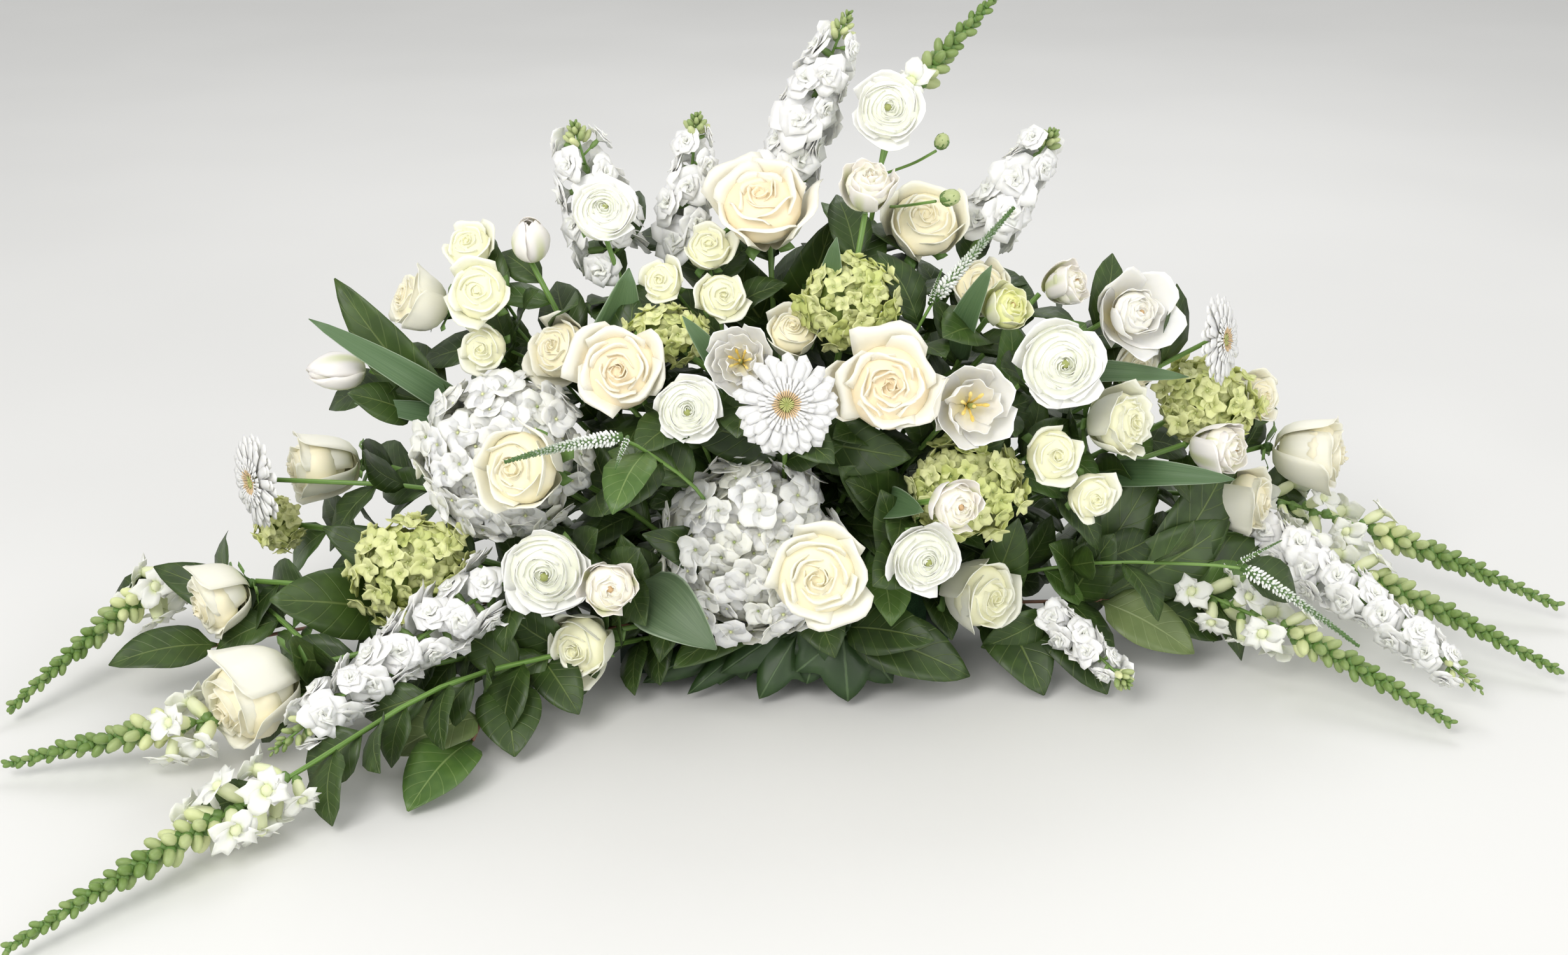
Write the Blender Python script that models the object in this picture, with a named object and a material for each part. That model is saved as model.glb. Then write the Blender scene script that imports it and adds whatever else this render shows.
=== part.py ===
# A sheaf of white and green cut flowers, standing in a block of floral foam in a low tray.
# Blender 4.5, metres, +Z up, the front faces -Y. The origin is the middle of the tray's underside.
#
# Every cut flower is one object: its bloom with its own stem, which stands in a plain hole in the foam.
# Blooms are placed by hand, in centimetres across (+X right), back (+Y away) and up (+Z).
# The way a bloom faces is a turn (0 looks to the front, + to the right) and a lift above level, in degrees.
import math

import bmesh
import bpy
from mathutils import Matrix, Vector

CM = 0.01
MM = 0.001
GAP = 0.4 * MM
LOWEST = 1.0 * MM
GOLDEN_ANGLE = math.radians(137.5)

TRAY_LENGTH, TRAY_WIDTH, TRAY_HEIGHT = 30 * CM, 16 * CM, 3.6 * CM
TRAY_WALL, TRAY_FLOOR, TRAY_LIP = 2.4 * MM, 2.4 * MM, 6 * MM
FOAM_LENGTH, FOAM_WIDTH, FOAM_HEIGHT = 26 * CM, 12 * CM, 8.6 * CM
FOAM_CHAMFER = 8 * MM

# A stem's cut end lies in the foam at these shares of its bloom's place, which keeps stems from crossing.
END_ACROSS, END_BACK, END_UP = 0.19, 0.16, 0.07
END_LOWEST = 3.0 * CM
STEM_SIDES, STEM_STEPS = 4, 2
LEAF_THICK = 1.0 * MM
GERBERA_RAYS, GERBERA_THICK = 16, 0.03
FLORET_WIDTH, FLORET_EYE, FLORET_VALLEY = 0.66, 0.88, 0.76
WHORL_TWIST = math.radians(80)
MAX_GROWTH = 2.5
WELD, FLAT = 0.005 * MM, math.radians(1)

COLOURS = {
    "rose_petal": ((0.93, 0.90, 0.76), 0.55),
    "white_petal": ((0.93, 0.93, 0.90), 0.55),
    "tulip_petal": ((0.90, 0.88, 0.74), 0.5),
    "green_floret": ((0.62, 0.70, 0.28), 0.6),
    "green_stem": ((0.20, 0.33, 0.09), 0.5),
    "green_bud": ((0.45, 0.58, 0.22), 0.5),
    "dark_leaf": ((0.045, 0.12, 0.035), 0.4),
    "sage_leaf": ((0.14, 0.26, 0.14), 0.5),
    "foam": ((0.06, 0.16, 0.07), 0.95),
    "tray": ((0.02, 0.05, 0.03), 0.45),
}

# Profiles of blooms, from the neck at the stem up and over every layer of petals to the heart.
# A row is how many points go round, their distance out and height in radii, the flare and rise of a petal's
# middle, and how far round the petals start.
OPEN_ROSE = [
    -0.84, (5, 0.14, -0.78, 0, 0, 0), (10, 0.70, -0.44, 0, 0, 0), (15, 0.93, 0.02, 0.10, 0.10, 0),
    (15, 0.70, -0.04, 0, 0, 0), (15, 0.59, 0.20, 0.10, 0.08, 0.5), (10, 0.44, 0.08, 0, 0, 0),
    (5, 0.35, 0.30, 0, 0, 0), (5, 0.18, 0.20, 0, 0, 0), 0.32,
]
GOBLET_ROSE = [
    -1.16, (5, 0.20, -1.10, 0, 0, 0), (10, 0.80, -0.64, 0, 0, 0), (15, 0.88, 0.14, 0.14, 0.12, 0),
    (15, 0.68, 0.08, 0, 0, 0), (10, 0.56, 0.36, 0, 0, 0.5), (10, 0.42, 0.24, 0, 0, 0),
    (5, 0.30, 0.46, 0, 0, 0), 0.34,
]
SPRAY_ROSE = [
    -0.90, (5, 0.16, -0.84, 0, 0, 0), (10, 0.80, -0.36, 0, 0, 0), (10, 0.94, 0.10, 0.10, 0.10, 0),
    (10, 0.66, 0.0, 0, 0, 0), (10, 0.52, 0.28, 0.10, 0.08, 0.5), (5, 0.32, 0.16, 0, 0, 0), 0.38,
]
RANUNCULUS = [
    -0.66, (5, 0.14, -0.60, 0, 0, 0), (10, 0.68, -0.46, 0, 0, 0), (14, 0.94, 0.14, 0.06, 0.06, 0),
    (14, 0.78, 0.12, 0, 0, 0), (14, 0.66, 0.32, 0.06, 0.05, 0.5), (7, 0.50, 0.24, 0, 0, 0),
    (7, 0.38, 0.42, 0, 0, 0), (5, 0.20, 0.34, 0, 0, 0), 0.44,
]
CLOSED_TULIP = [
    -1.24, (4, 0.20, -1.18, 0, 0, 0), (8, 0.76, -0.86, 0, 0, 0), (12, 0.98, -0.10, 0.04, 0, 0),
    (12, 0.82, 0.52, 0.08, 0.04, 0), (12, 0.50, 0.88, 0.16, 0.20, 0), (6, 0.30, 0.66, 0, 0, 0), 0.98,
]
OPEN_TULIP = [
    -0.84, (4, 0.16, -0.78, 0, 0, 0), (8, 0.58, -0.66, 0, 0, 0), (12, 0.86, -0.22, 0.04, 0, 0),
    (12, 0.88, 0.20, 0.14, 0.16, 0), (12, 0.66, 0.0, 0, 0, 0), (12, 0.52, 0.22, 0.12, 0.12, 0.5),
    (6, 0.34, -0.22, 0, 0, 0), 0.06,
]
# Kinds of leaf: material, arch along the rib, fold across it, and how wide the blade is at shares of its length
LEAF_KINDS = {
    "leaf": ("dark_leaf", 0.10, 0.12, ((0.0, 0.06), (0.32, 1.0), (0.7, 0.8))),
    "small": ("dark_leaf", 0.08, 0.12, ((0.0, 0.06), (0.45, 1.0))),
    "sage": ("sage_leaf", 0.10, 0.12, ((0.0, 0.06), (0.32, 1.0), (0.7, 0.8))),
    "strap": ("sage_leaf", 0.12, 0.25, ((0.0, 0.1), (0.5, 1.0))),
}
BUD = [-1.3, (4, 0.35, -1.2, 0, 0, 0), (6, 1.0, -0.2, 0, 0, 0), (6, 0.6, 0.8, 0, 0, 0), 1.2]


def clear_scene():
    for old in list(bpy.data.objects):
        bpy.data.objects.remove(old)


def make_materials():
    made = {}
    for name, (colour, roughness) in COLOURS.items():
        material = bpy.data.materials.new(name)
        material.use_nodes = True
        shader = material.node_tree.nodes["Principled BSDF"]
        shader.inputs["Base Color"].default_value = (*colour, 1)
        shader.inputs["Roughness"].default_value = roughness
        shader.inputs["Metallic"].default_value = 0
        material.diffuse_color = (*colour, 1)
        made[name] = material
    return made


# Directions and curves


def cm(place):
    return Vector(place) * CM


def facing(turn, lift):
    """The direction of a bloom's axis."""
    a, e = math.radians(turn), math.radians(lift)
    return Vector((math.sin(a) * math.cos(e), -math.cos(a) * math.cos(e), math.sin(e)))


def axes_along(direction):
    """A turn that brings +Z onto direction, with +X kept level."""
    z = direction.normalized()
    side = Vector((0, 0, 1)).cross(z)
    x = side.normalized() if side.length > 1e-6 else Vector((1, 0, 0))
    return Matrix((x, z.cross(x), z)).transposed()


def curve_points(controls, count):
    """Points along one Bezier curve through its first and last control."""
    points = []
    for i in range(count + 1):
        level = [Vector(c) for c in controls]
        while len(level) > 1:
            level = [a.lerp(b, i / count) for a, b in zip(level, level[1:])]
        points.append(level[0])
    return points


def along_path(path, share):
    """The point at a share of the path, and the way it runs there. Past 1 it goes straight on."""
    at = max(share, 0) * (len(path) - 1)
    i = min(int(at), len(path) - 2)
    return path[i].lerp(path[i + 1], at - i), (path[i + 1] - path[i]).normalized()


def kept_up(points):
    """Points raised to just above the surface that the tray stands on."""
    for point in points:
        point.z = max(point.z, LOWEST)
    return points


# Closed shells, each (points, faces, material name)


def stitch(n, m, start, following):
    """Triangles between two rings of n and m points, by walking both round together."""
    faces, i, j = [], 0, 0
    while i < n or j < m:
        if j >= m or (i < n and (i + 0.5) * m <= (j + 0.5) * n):
            faces.append((start + i % n, start + (i + 1) % n, following + j % m))
            i += 1
        else:
            faces.append((start + i % n, following + (j + 1) % m, following + j % m))
            j += 1
    return faces


def ringed_shell(bottom, rings, top, stuff):
    """A shell from a bottom pole through rings of points, which turn to the left seen from the top."""
    points, starts = [bottom], []
    for ring in rings:
        starts.append(len(points))
        points.extend(ring)
    n = len(rings[0])
    faces = [(0, 1 + (i + 1) % n, 1 + i) for i in range(n)]
    for k in range(len(rings) - 1):
        faces += stitch(len(rings[k]), len(rings[k + 1]), starts[k], starts[k + 1])
    points.append(top)
    last, n = starts[-1], len(rings[-1])
    faces += [(len(points) - 1, last + i, last + (i + 1) % n) for i in range(n)]
    return kept_up(points), faces, stuff


def ring_round(centre, turn, count, radius, height=0.0, spin=0.0):
    ring = []
    for k in range(count):
        angle = 2 * math.pi * k / count + spin
        ring.append(centre + turn @ Vector((radius * math.cos(angle), radius * math.sin(angle), height)))
    return ring


def bloom_shell(profile, petals, place, axis, radius, stuff, height=1.0):
    """Nested cups of petals as one turned shell."""
    turn = axes_along(axis)
    rings = []
    for count, r, z, flare, rise, phase in profile[1:-1]:
        ring = []
        for k in range(count):
            lobe = math.sin(math.pi * ((petals * k / count + phase) % 1))
            angle = 2 * math.pi * k / count
            reach = r * (1 + flare * lobe) * radius
            up = (z + rise * lobe) * height * radius
            ring.append(place + turn @ Vector((reach * math.cos(angle), reach * math.sin(angle), up)))
        rings.append(ring)
    low, high = profile[0] * height * radius, profile[-1] * height * radius
    return ringed_shell(place + axis * low, rings, place + axis * high, stuff)


def gerbera_shell(place, axis, radius):
    """A flat ring of pointed rays round a low disc."""
    turn = axes_along(axis)

    def ring(count, reach, height, notch=0.0):
        made = []
        for k in range(count):
            angle = 2 * math.pi * k / count
            r = reach - (notch if k % 2 else 0)
            made.append(place + turn @ Vector((r * math.cos(angle), r * math.sin(angle), height)) * radius)
        return made

    rays = 2 * GERBERA_RAYS
    rings = [
        ring(8, 0.14, -0.20), ring(16, 0.42, -0.03), ring(rays, 1.0, 0.04, 0.30),
        ring(rays, 1.0, 0.04 + GERBERA_THICK, 0.30), ring(16, 0.36, 0.07), ring(8, 0.22, 0.05), ring(8, 0.18, 0.11),
    ]
    return ringed_shell(place - axis * 0.24 * radius, rings, place + axis * 0.09 * radius, "white_petal")


def tube_shell(path, radii, sides=STEM_SIDES, stuff="green_stem"):
    """A round stem of few sides along a path, closed by its two ends."""
    points, side = [], None
    for i, point in enumerate(path):
        ahead = (path[min(i + 1, len(path) - 1)] - path[max(i - 1, 0)]).normalized()
        if side is None:
            side = axes_along(ahead) @ Vector((1, 0, 0))
        side = (side - ahead * side.dot(ahead)).normalized()
        across = ahead.cross(side)
        for k in range(sides):
            angle = 2 * math.pi * k / sides
            points.append(point + (side * math.cos(angle) + across * math.sin(angle)) * radii[i])
    faces = []
    last = (len(path) - 1) * sides
    for row in range(0, last, sides):
        for k in range(sides):
            a, b = row + k, row + (k + 1) % sides
            faces += [(a, b, b + sides), (a, b + sides, a + sides)]
    faces += [(0, k + 1, k) for k in range(1, sides - 1)]
    faces += [(last, last + k, last + k + 1) for k in range(1, sides - 1)]
    return kept_up(points), faces, stuff


def hull_faces(unit):
    """The triangles of the hull round points on a ball, facing out, by index."""
    shape = bmesh.new()
    for point in unit:
        shape.verts.new(point)
    bmesh.ops.convex_hull(shape, input=list(shape.verts))
    bmesh.ops.triangulate(shape, faces=list(shape.faces))
    shape.verts.index_update()
    faces = []
    for face in shape.faces:
        a, b, c = (v.index for v in face.verts)
        outward = (unit[b] - unit[a]).cross(unit[c] - unit[a]).dot(unit[a] + unit[b] + unit[c])
        faces.append((a, b, c) if outward > 0 else (a, c, b))
    shape.free()
    return faces


def floret_net(florets, lowest_up):
    """Four-petalled florets over a ball, from its top down to lowest_up: directions, reaches and triangles."""
    eyes = []
    for k in range(florets):
        up = 1 - (1 - lowest_up) * (k + 0.5) / florets
        flat = math.sqrt(1 - up * up)
        eyes.append(Vector((flat * math.cos(GOLDEN_ANGLE * k), flat * math.sin(GOLDEN_ANGLE * k), up)))
    spread = FLORET_WIDTH * math.sqrt((1 - lowest_up) * 2 / florets)
    net = [(e, FLORET_EYE) for e in eyes]
    for number, middle in enumerate(eyes):
        side = axes_along(middle)
        for k in range(4):
            angle = math.pi * k / 2 + 0.7 * number
            lobe = middle + side @ Vector((spread * math.cos(angle), spread * math.sin(angle), 0))
            net.append((lobe.normalized(), 1.0))
    eyes += [Vector((0.6 * math.cos(a), 0.6 * math.sin(a), -0.8)) for a in (0, 2.1, 4.2)]
    net += [(e, FLORET_EYE) for e in eyes[-3:]]
    corners = hull_faces(eyes)
    between = [(eyes[a] + eyes[b] + eyes[c]).normalized() for a, b, c in corners]
    between += [(eyes[a] + eyes[b]).normalized() for f in corners for a, b in zip(f, f[1:] + f[:1]) if a < b]
    for valley in between:
        if min((valley - d).length for d, _ in net) > 0.5 * spread and valley.z > lowest_up - 0.1:
            net.append((valley, FLORET_VALLEY))
    return net, hull_faces([d for d, _ in net])


def head_shell(centre, radii, out, florets, stuff):
    """A dome of four-petalled florets that looks along out, with a shallow back where its stem comes in."""
    net, faces = floret_net(florets, -0.25)
    turn = axes_along(out)
    points = []
    for direction, reach in net:
        way = turn @ direction
        way -= out * (0.65 * min(way.dot(out), 0))
        points.append(centre + Vector([way[i] * reach * radii[i] for i in range(3)]))
    return kept_up(points), faces, stuff


def whorled_shell(path, radius, whorls, petals, stuff, taper, waist, notch):
    """Whorls of florets or buds stacked along a path: a ring of pointed petals above each narrow waist."""
    rings = []
    for number in range(2 * whorls):
        rim = number % 2
        share = (number // 2 + 0.62 * rim) / whorls
        point, ahead = along_path(path, share)
        turn, size = axes_along(ahead), radius * (1 - taper * share)
        ring = []
        for j in range(petals * (1 + rim)):
            angle = 2 * math.pi * j / (petals * (1 + rim)) + number * WHORL_TWIST / petals
            reach, droop = (1.0, 0.18) if rim and j % 2 == 0 else ((notch, 0) if rim else (waist, 0))
            local = Vector((reach * math.cos(angle), reach * math.sin(angle), -droop)) * size
            ring.append(point + turn @ local)
        rings.append(ring)
    foot, ahead = along_path(path, 0)
    return ringed_shell(foot - ahead * radius * 0.3, rings, along_path(path, 1)[0], stuff)


def bud_shell(root, direction, length, radius, stuff="green_bud", sides=4):
    """A pointed bud: two pyramids on one ring."""
    ring = ring_round(root, axes_along(direction), sides, radius, 0.52 * length)
    return ringed_shell(root, [ring], root + direction * length, stuff)


def rosette_shell(root, direction, depth, radius, stuff, spin=0.0):
    """A small open floret: a waved rim on a funnel that runs down to its root."""
    turn = axes_along(direction)
    ring = []
    for k in range(6):
        angle = math.pi * k / 3 + spin
        reach, up = (1.0, 1.0) if k % 2 == 0 else (0.78, 0.72)
        local = Vector((reach * radius * math.cos(angle), reach * radius * math.sin(angle), depth * up))
        ring.append(root + turn @ local)
    return ringed_shell(root, [ring], root + direction * depth * 0.78, stuff)


def blade_shell(base, tip, width, front, stuff, arch, fold, shares):
    """A leaf: one arched blade folded on its rib, of an even thickness. front is the way that its face looks."""
    along = tip - base
    length = along.length
    ahead = along.normalized()
    normal = (front - ahead * front.dot(ahead)).normalized()
    across = ahead.cross(normal)
    upper = []
    for share, wide in shares:
        rib = base + along * share + normal * (arch * length * math.sin(math.pi * share))
        edge = across * (0.5 * width * wide)
        lift = normal * (0.5 * width * wide * fold)
        upper += [rib + edge + lift, rib, rib - edge + lift]
    upper.append(tip)
    last = len(upper) - 1
    spans = len(shares) - 1
    top = []
    for a in range(0, 3 * spans, 3):
        top += [(a, a + 3, a + 4), (a, a + 4, a + 1), (a + 1, a + 4, a + 5), (a + 1, a + 5, a + 2)]
    a = 3 * spans
    top += [(a, last, a + 1), (a + 1, last, a + 2)]
    rim = [3 * i for i in range(spans + 1)] + [last] + [3 * i + 2 for i in range(spans, -1, -1)] + [1]
    return blade_from(upper, top, rim, normal, stuff)


def lobed_shell(base, tip, width, front, stuff, arch=0.06):
    """An ivy leaf: five pointed lobes cut from one arched blade."""
    along = tip - base
    ahead = along.normalized()
    normal = (front - ahead * front.dot(ahead)).normalized()
    across = ahead.cross(normal)
    half = []
    for share, wide in ((0.0, 0.06), (0.02, 0.34), (-0.12, 0.62), (0.22, 0.5), (0.38, 1.0), (0.52, 0.52), (0.66, 0.4)):
        rise = normal * (arch * along.length * math.sin(math.pi * max(share, 0)))
        half.append((base + along * share + rise, across * (0.5 * width * wide)))
    upper = [p + e for p, e in half] + [tip] + [p - e for p, e in reversed(half)]
    count = len(upper)
    upper.append(base + along * 0.3 + normal * (arch * along.length * 1.5))
    top = [(count, i, (i + 1) % count) for i in range(count)]
    return blade_from(upper, top, list(range(count)), normal, stuff)


def blade_from(upper, top, rim, normal, stuff):
    """Closes a blade: its upper face, the same face below, and the edge between."""
    low = len(upper)
    lower = kept_up([p - normal * LEAF_THICK for p in upper])
    for over, under in zip(upper, lower):
        if under.z <= LOWEST:
            over.z = max(over.z, LOWEST + 0.7 * LEAF_THICK)
    faces = list(top) + [(a + low, c + low, b + low) for a, b, c in top]
    for a, b in zip(rim, rim[1:] + rim[:1]):
        faces += [(a, a + low, b + low), (a, b + low, b)]
    return upper + lower, faces, stuff


# Plants: shells for the stems, the blooms and the leaves, with the paths that the stems follow


def foam_end(place):
    """Where in the foam the stem of a bloom at this place is cut."""
    return Vector((place.x * END_ACROSS, place.y * END_BACK, END_LOWEST + place.z * END_UP))


def plant(paths, stems, blooms, leaves=()):
    return {"paths": paths, "stems": stems, "blooms": blooms, "leaves": list(leaves)}


def stem_path(neck, axis, bend, root, via):
    """From the cut end in the foam, or from its root on another stem, in one easy curve to the neck."""
    end = root or foam_end(neck)
    behind = neck - axis * (bend * (neck - end).length)
    middle = cm(via) if via else end.lerp(neck, 0.45)
    return curve_points([end, middle, behind, neck], STEM_STEPS)


def flower(profile, petals, stuff, stem, place, turn, lift, radius, height=1.0, bend=0.25, root=None, via=None):
    """One bloom on its stem, which is stem mm thick. Place and via in cm, radius in mm."""
    centre, axis, size = cm(place), facing(turn, lift), radius * MM
    neck = centre + axis * (profile[0] * height * size + 4 * MM)
    path = stem_path(neck, axis, bend, root, via)
    bloom = bloom_shell(profile, petals, centre, axis, size, stuff, height)
    return plant([path], [tube_shell(path, [stem * MM / 2] * len(path))], [bloom])


def daisy(place, turn, lift, radius, via=None):
    centre, axis, size = cm(place), facing(turn, lift), radius * MM
    path = stem_path(centre - axis * (0.16 * size), axis, 0.3, None, via)
    return plant([path], [tube_shell(path, [2.3 * MM] * len(path))], [gerbera_shell(centre, axis, size)])


def head(place, radii, turn, lift, florets, stuff, root=None, via=None):
    """A hydrangea head on its stem. Radii in mm across, back and up."""
    centre, axis = cm(place), facing(turn, lift)
    path = stem_path(centre, axis, 0.2, root, via)
    bloom = head_shell(centre, [r * MM for r in radii], axis, florets, stuff)
    return plant([path], [tube_shell(path, [3 * MM] * len(path))], [bloom])


def stretch(path, first, last, count=4):
    """Points evenly along a part of a path."""
    return [along_path(path, first + (last - first) * i / count)[0] for i in range(count + 1)]


def spike_stem(base, tip, sag, thick, root, via, reach=0.85):
    """A stem from the foam through base, as far as it shows to reach, and the whole flowering part of it."""
    start, end = cm(base), cm(tip)
    flowering = curve_points([start, start.lerp(end, 0.5) + Vector((0, 0, sag * CM)), end], 4)
    below = stem_path(start, (flowering[1] - start).normalized(), 0.25, root, via)
    shown = stretch(flowering, 0, reach, 2)
    path = below[:-1] + shown
    radii = [thick * MM / 2] * (len(below) - 1) + [share * thick * MM / 2 for share in (1, 0.8, 0.6)]
    return path, tube_shell(path, radii), flowering


def out_of_path(path, share, number):
    """A place on a path and a direction out of it, each a golden turn after the last."""
    point, ahead = along_path(path, share)
    angle = GOLDEN_ANGLE * number
    return point, ahead, axes_along(ahead) @ Vector((math.cos(angle), math.sin(angle), 0))


def stock(base, tip, radius, whorls, sag=0.0, buds=2, root=None, via=None):
    """A spike of ruffled florets in whorls round the stem, with a few buds at its end."""
    path, stem, flowering = spike_stem(base, tip, sag, 5, root, via, 0.2)
    open_part = stretch(flowering, 0, 0.94 if buds else 1)
    blooms = [whorled_shell(open_part, radius * MM, whorls, 4, "white_petal", 0.35, 0.6, 0.72)]
    if buds:
        blooms.append(whorled_shell(stretch(flowering, 0.86, 1.06, 2), 9 * MM, buds, 3, "green_bud", 0.4, 0.5, 0.5))
    return plant([path], [stem], blooms)


def snapdragon(base, tip, sag=0.0, whorls=7, florets=4, open_share=0.30, root=None, via=None):
    """A spike with hooded florets up to open_share of it, then buds that grow smaller to the tip."""
    path, stem, flowering = spike_stem(base, tip, sag, 5, root, via, open_share + 0.04)
    blooms = []
    for k in range(florets):
        point, ahead, out = out_of_path(flowering, open_share * k / florets, k)
        direction = (out + ahead * 0.6).normalized()
        blooms.append(rosette_shell(point - direction * MM, direction, 24 * MM, 14 * MM, "white_petal", k))
    closed_part = stretch(flowering, open_share, 1)
    blooms.append(whorled_shell(closed_part, 16 * MM, whorls, 3, "green_bud", 0.6, 0.26, 0.34))
    return plant([path], [stem], blooms)


def veronica(base, tip, radius, side, sag=0.0):
    """A slim tapering spike covered in tiny florets, raised in rings of points, and one small side spike."""
    path, stem, flowering = spike_stem(base, tip, sag, 3.6, None, None, 0.5)
    rings = []
    for i in range(9):
        point, ahead = along_path(flowering, i / 8 * 0.97)
        reach = radius * MM * (1 - 0.72 * i / 8) * (1.0 if i % 2 else 0.72)
        rings.append(ring_round(point, axes_along(ahead), 6, reach, 0, math.pi / 6 * (i % 2)))
    first, last = (flowering[1] - flowering[0]).normalized(), (flowering[-1] - flowering[-2]).normalized()
    root = flowering[0] - first * 3 * MM
    branch = cm(side) - root
    stems = [stem, tube_shell([root, root + branch * 0.6], [1.3 * MM] * 2)]
    blooms = [
        ringed_shell(root, rings, flowering[-1] + last * 4 * MM, "white_petal"),
        bud_shell(root + branch * 0.45, branch.normalized(), branch.length * 0.6, 3.6 * MM, sides=5),
    ]
    return plant([path], stems, blooms)


def twig(*path, thick=3.4):
    """A bare leafy stem from the foam along places in cm."""
    points = [cm(p) for p in path]
    smooth = curve_points([foam_end(points[-1])] + points, 5)
    return plant([smooth], [tube_shell(smooth, [thick * MM / 2] * len(smooth))], [])


def on_stem(one, share):
    """A place on a plant's first stem, for a side stem to grow from."""
    return along_path(one["paths"][0], share)[0]


def together(*plants):
    """Several blooms of one kind that grow from one stem."""
    joined = plant([], [], [])
    for one in plants:
        for kind in joined:
            joined[kind] += one[kind]
    return joined


def leaved(one, *rows):
    """The plant with leaves. A row: kind, stem number, share along it, tip in cm, width in mm, turn, lift."""
    for kind, number, share, tip, width, turn, lift in rows:
        base, _ = along_path(one["paths"][number], share)
        front, end = facing(turn, lift), cm(tip)
        if kind == "ivy":
            one["leaves"].append(lobed_shell(base, end, width * MM, front, "dark_leaf"))
        else:
            stuff, arch, fold, shares = LEAF_KINDS[kind]
            one["leaves"].append(blade_shell(base, end, width * MM, front, stuff, arch, fold, shares))
    return one


# The flowers, each with its own name


def roses():
    def opened(*row, **more):
        return flower(OPEN_ROSE, 5, "rose_petal", 5, *row, **more)

    def goblet(*row, **more):
        return flower(GOBLET_ROSE, 5, "rose_petal", 5, *row, **more)

    heart = opened((-13.7, -13, 31), -1, 20, 43)
    centre = opened((8.7, -15, 30.3), -3, 22, 47)
    low = goblet((-45, -24.5, 5.9), -46, -8, 46, height=1.15, via=(-24, -10, 6))
    behind = goblet((17.6, 1, 34), 8, 42, 30)
    far_right = goblet((51.6, 8, 15.3), 69, 2, 38, height=1.25)
    return {
        "rose_top": goblet((-1.8, -3, 42.5), -8, 48, 45),
        "rose_top_right": goblet((12.5, 0.5, 40), 4, 42, 39),
        "rose_upper_left": goblet((-32.4, -3, 34), -68, 28, 31, via=(-16, 1, 17)),
        "roses_heart": together(heart, goblet((-19.5, -6.5, 30.5), -34, 30, 32, root=on_stem(heart, 0.4))),
        "roses_centre": together(centre, goblet((0.8, -7.5, 32.5), 0, 50, 25, root=on_stem(centre, 0.4))),
        "rose_front": opened((3, -20, 15.1), 5, 14, 48, via=(3, -9, 6)),
        "rose_on_hydrangea": goblet((-21.8, -18, 23.9), -22, 14, 40),
        "rose_left_lying": goblet((-43.6, 0.6, 16.8), -66, 4, 34, height=1.35),
        "roses_low_left": together(
            low, goblet((-50.6, -11, 8.5), -54, -12, 35, root=on_stem(low, 0.5))
        ),
        "rose_front_left": goblet((-17.6, -16.5, 6.8), -26, 6, 34),
        "rose_front_right": goblet((17.8, -11, 9), 40, 8, 37, height=1.1),
        "rose_right_frilled": goblet((29.7, -7, 24), 46, 14, 34),
        "roses_far_right": together(
            far_right,
            goblet((43.4, 1, 13.2), 62, 4, 34, height=1.15, root=on_stem(far_right, 0.5)),
            goblet((44.4, 6, 21.6), 40, 20, 25, root=on_stem(far_right, 0.7)),
        ),
        "roses_behind_tulips": together(
            behind, opened((31.8, 0, 26.6), 24, 20, 25, root=on_stem(behind, 0.3))
        ),
    }


def spray_roses():
    def small(*row, **more):
        return flower(SPRAY_ROSE, 5, "rose_petal", 3.2, *row, height=1.1, **more)

    left = small((-26, -6.5, 35.7), -4, 22, 31)
    upper = small((-5.4, -6.8, 35.4), 8, 24, 25)
    right = small((23.2, -11, 22.6), 18, 14, 29)
    return {
        "spray_roses_left": together(
            left, small((-27.4, -1.5, 38.4), -12, 45, 25, root=on_stem(left, 0.7)),
            small((-26, -6, 30.4), -12, 10, 24, root=on_stem(left, 0.6)),
        ),
        "spray_roses_upper": together(
            upper, small((-6.6, -2.6, 38.6), 0, 45, 25, root=on_stem(upper, 0.75)),
            small((-10.5, -5.6, 36.4), -18, 28, 22, root=on_stem(upper, 0.7)),
        ),
        "spray_roses_right": together(right, small((26.8, -10, 18.2), 22, 4, 26, root=on_stem(right, 0.6))),
    }


def ranunculuses():
    def white(*row):
        return flower(RANUNCULUS, 7, "white_petal", 4.4, *row)

    def bud(*row, **more):
        return flower(BUD, 3, "green_bud", 2.6, *row, **more)

    top = white((9, 1, 49.8), -6, 16, 34)
    return {
        "ranunculus_upper_left": white((-15.3, -5, 42.3), 14, 36, 31),
        "ranunculus_top": together(
            top, bud((13.7, 1.5, 46.8), 30, 50, 7, root=on_stem(top, 0.8)),
            bud((14, -5.5, 43.6), 60, 20, 8, root=on_stem(top, 0.7)),
        ),
        "ranunculus_middle": white((-8, -16, 28.4), 5, 8, 31),
        "ranunculus_right": white((23.3, -11, 30.9), 8, 10, 41),
        "ranunculus_front_left": white((-19.9, -18.5, 14.9), -2, 6, 41),
        "ranunculus_front_right": white((11.8, -17.4, 15.6), 14, 6, 34),
    }


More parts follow.
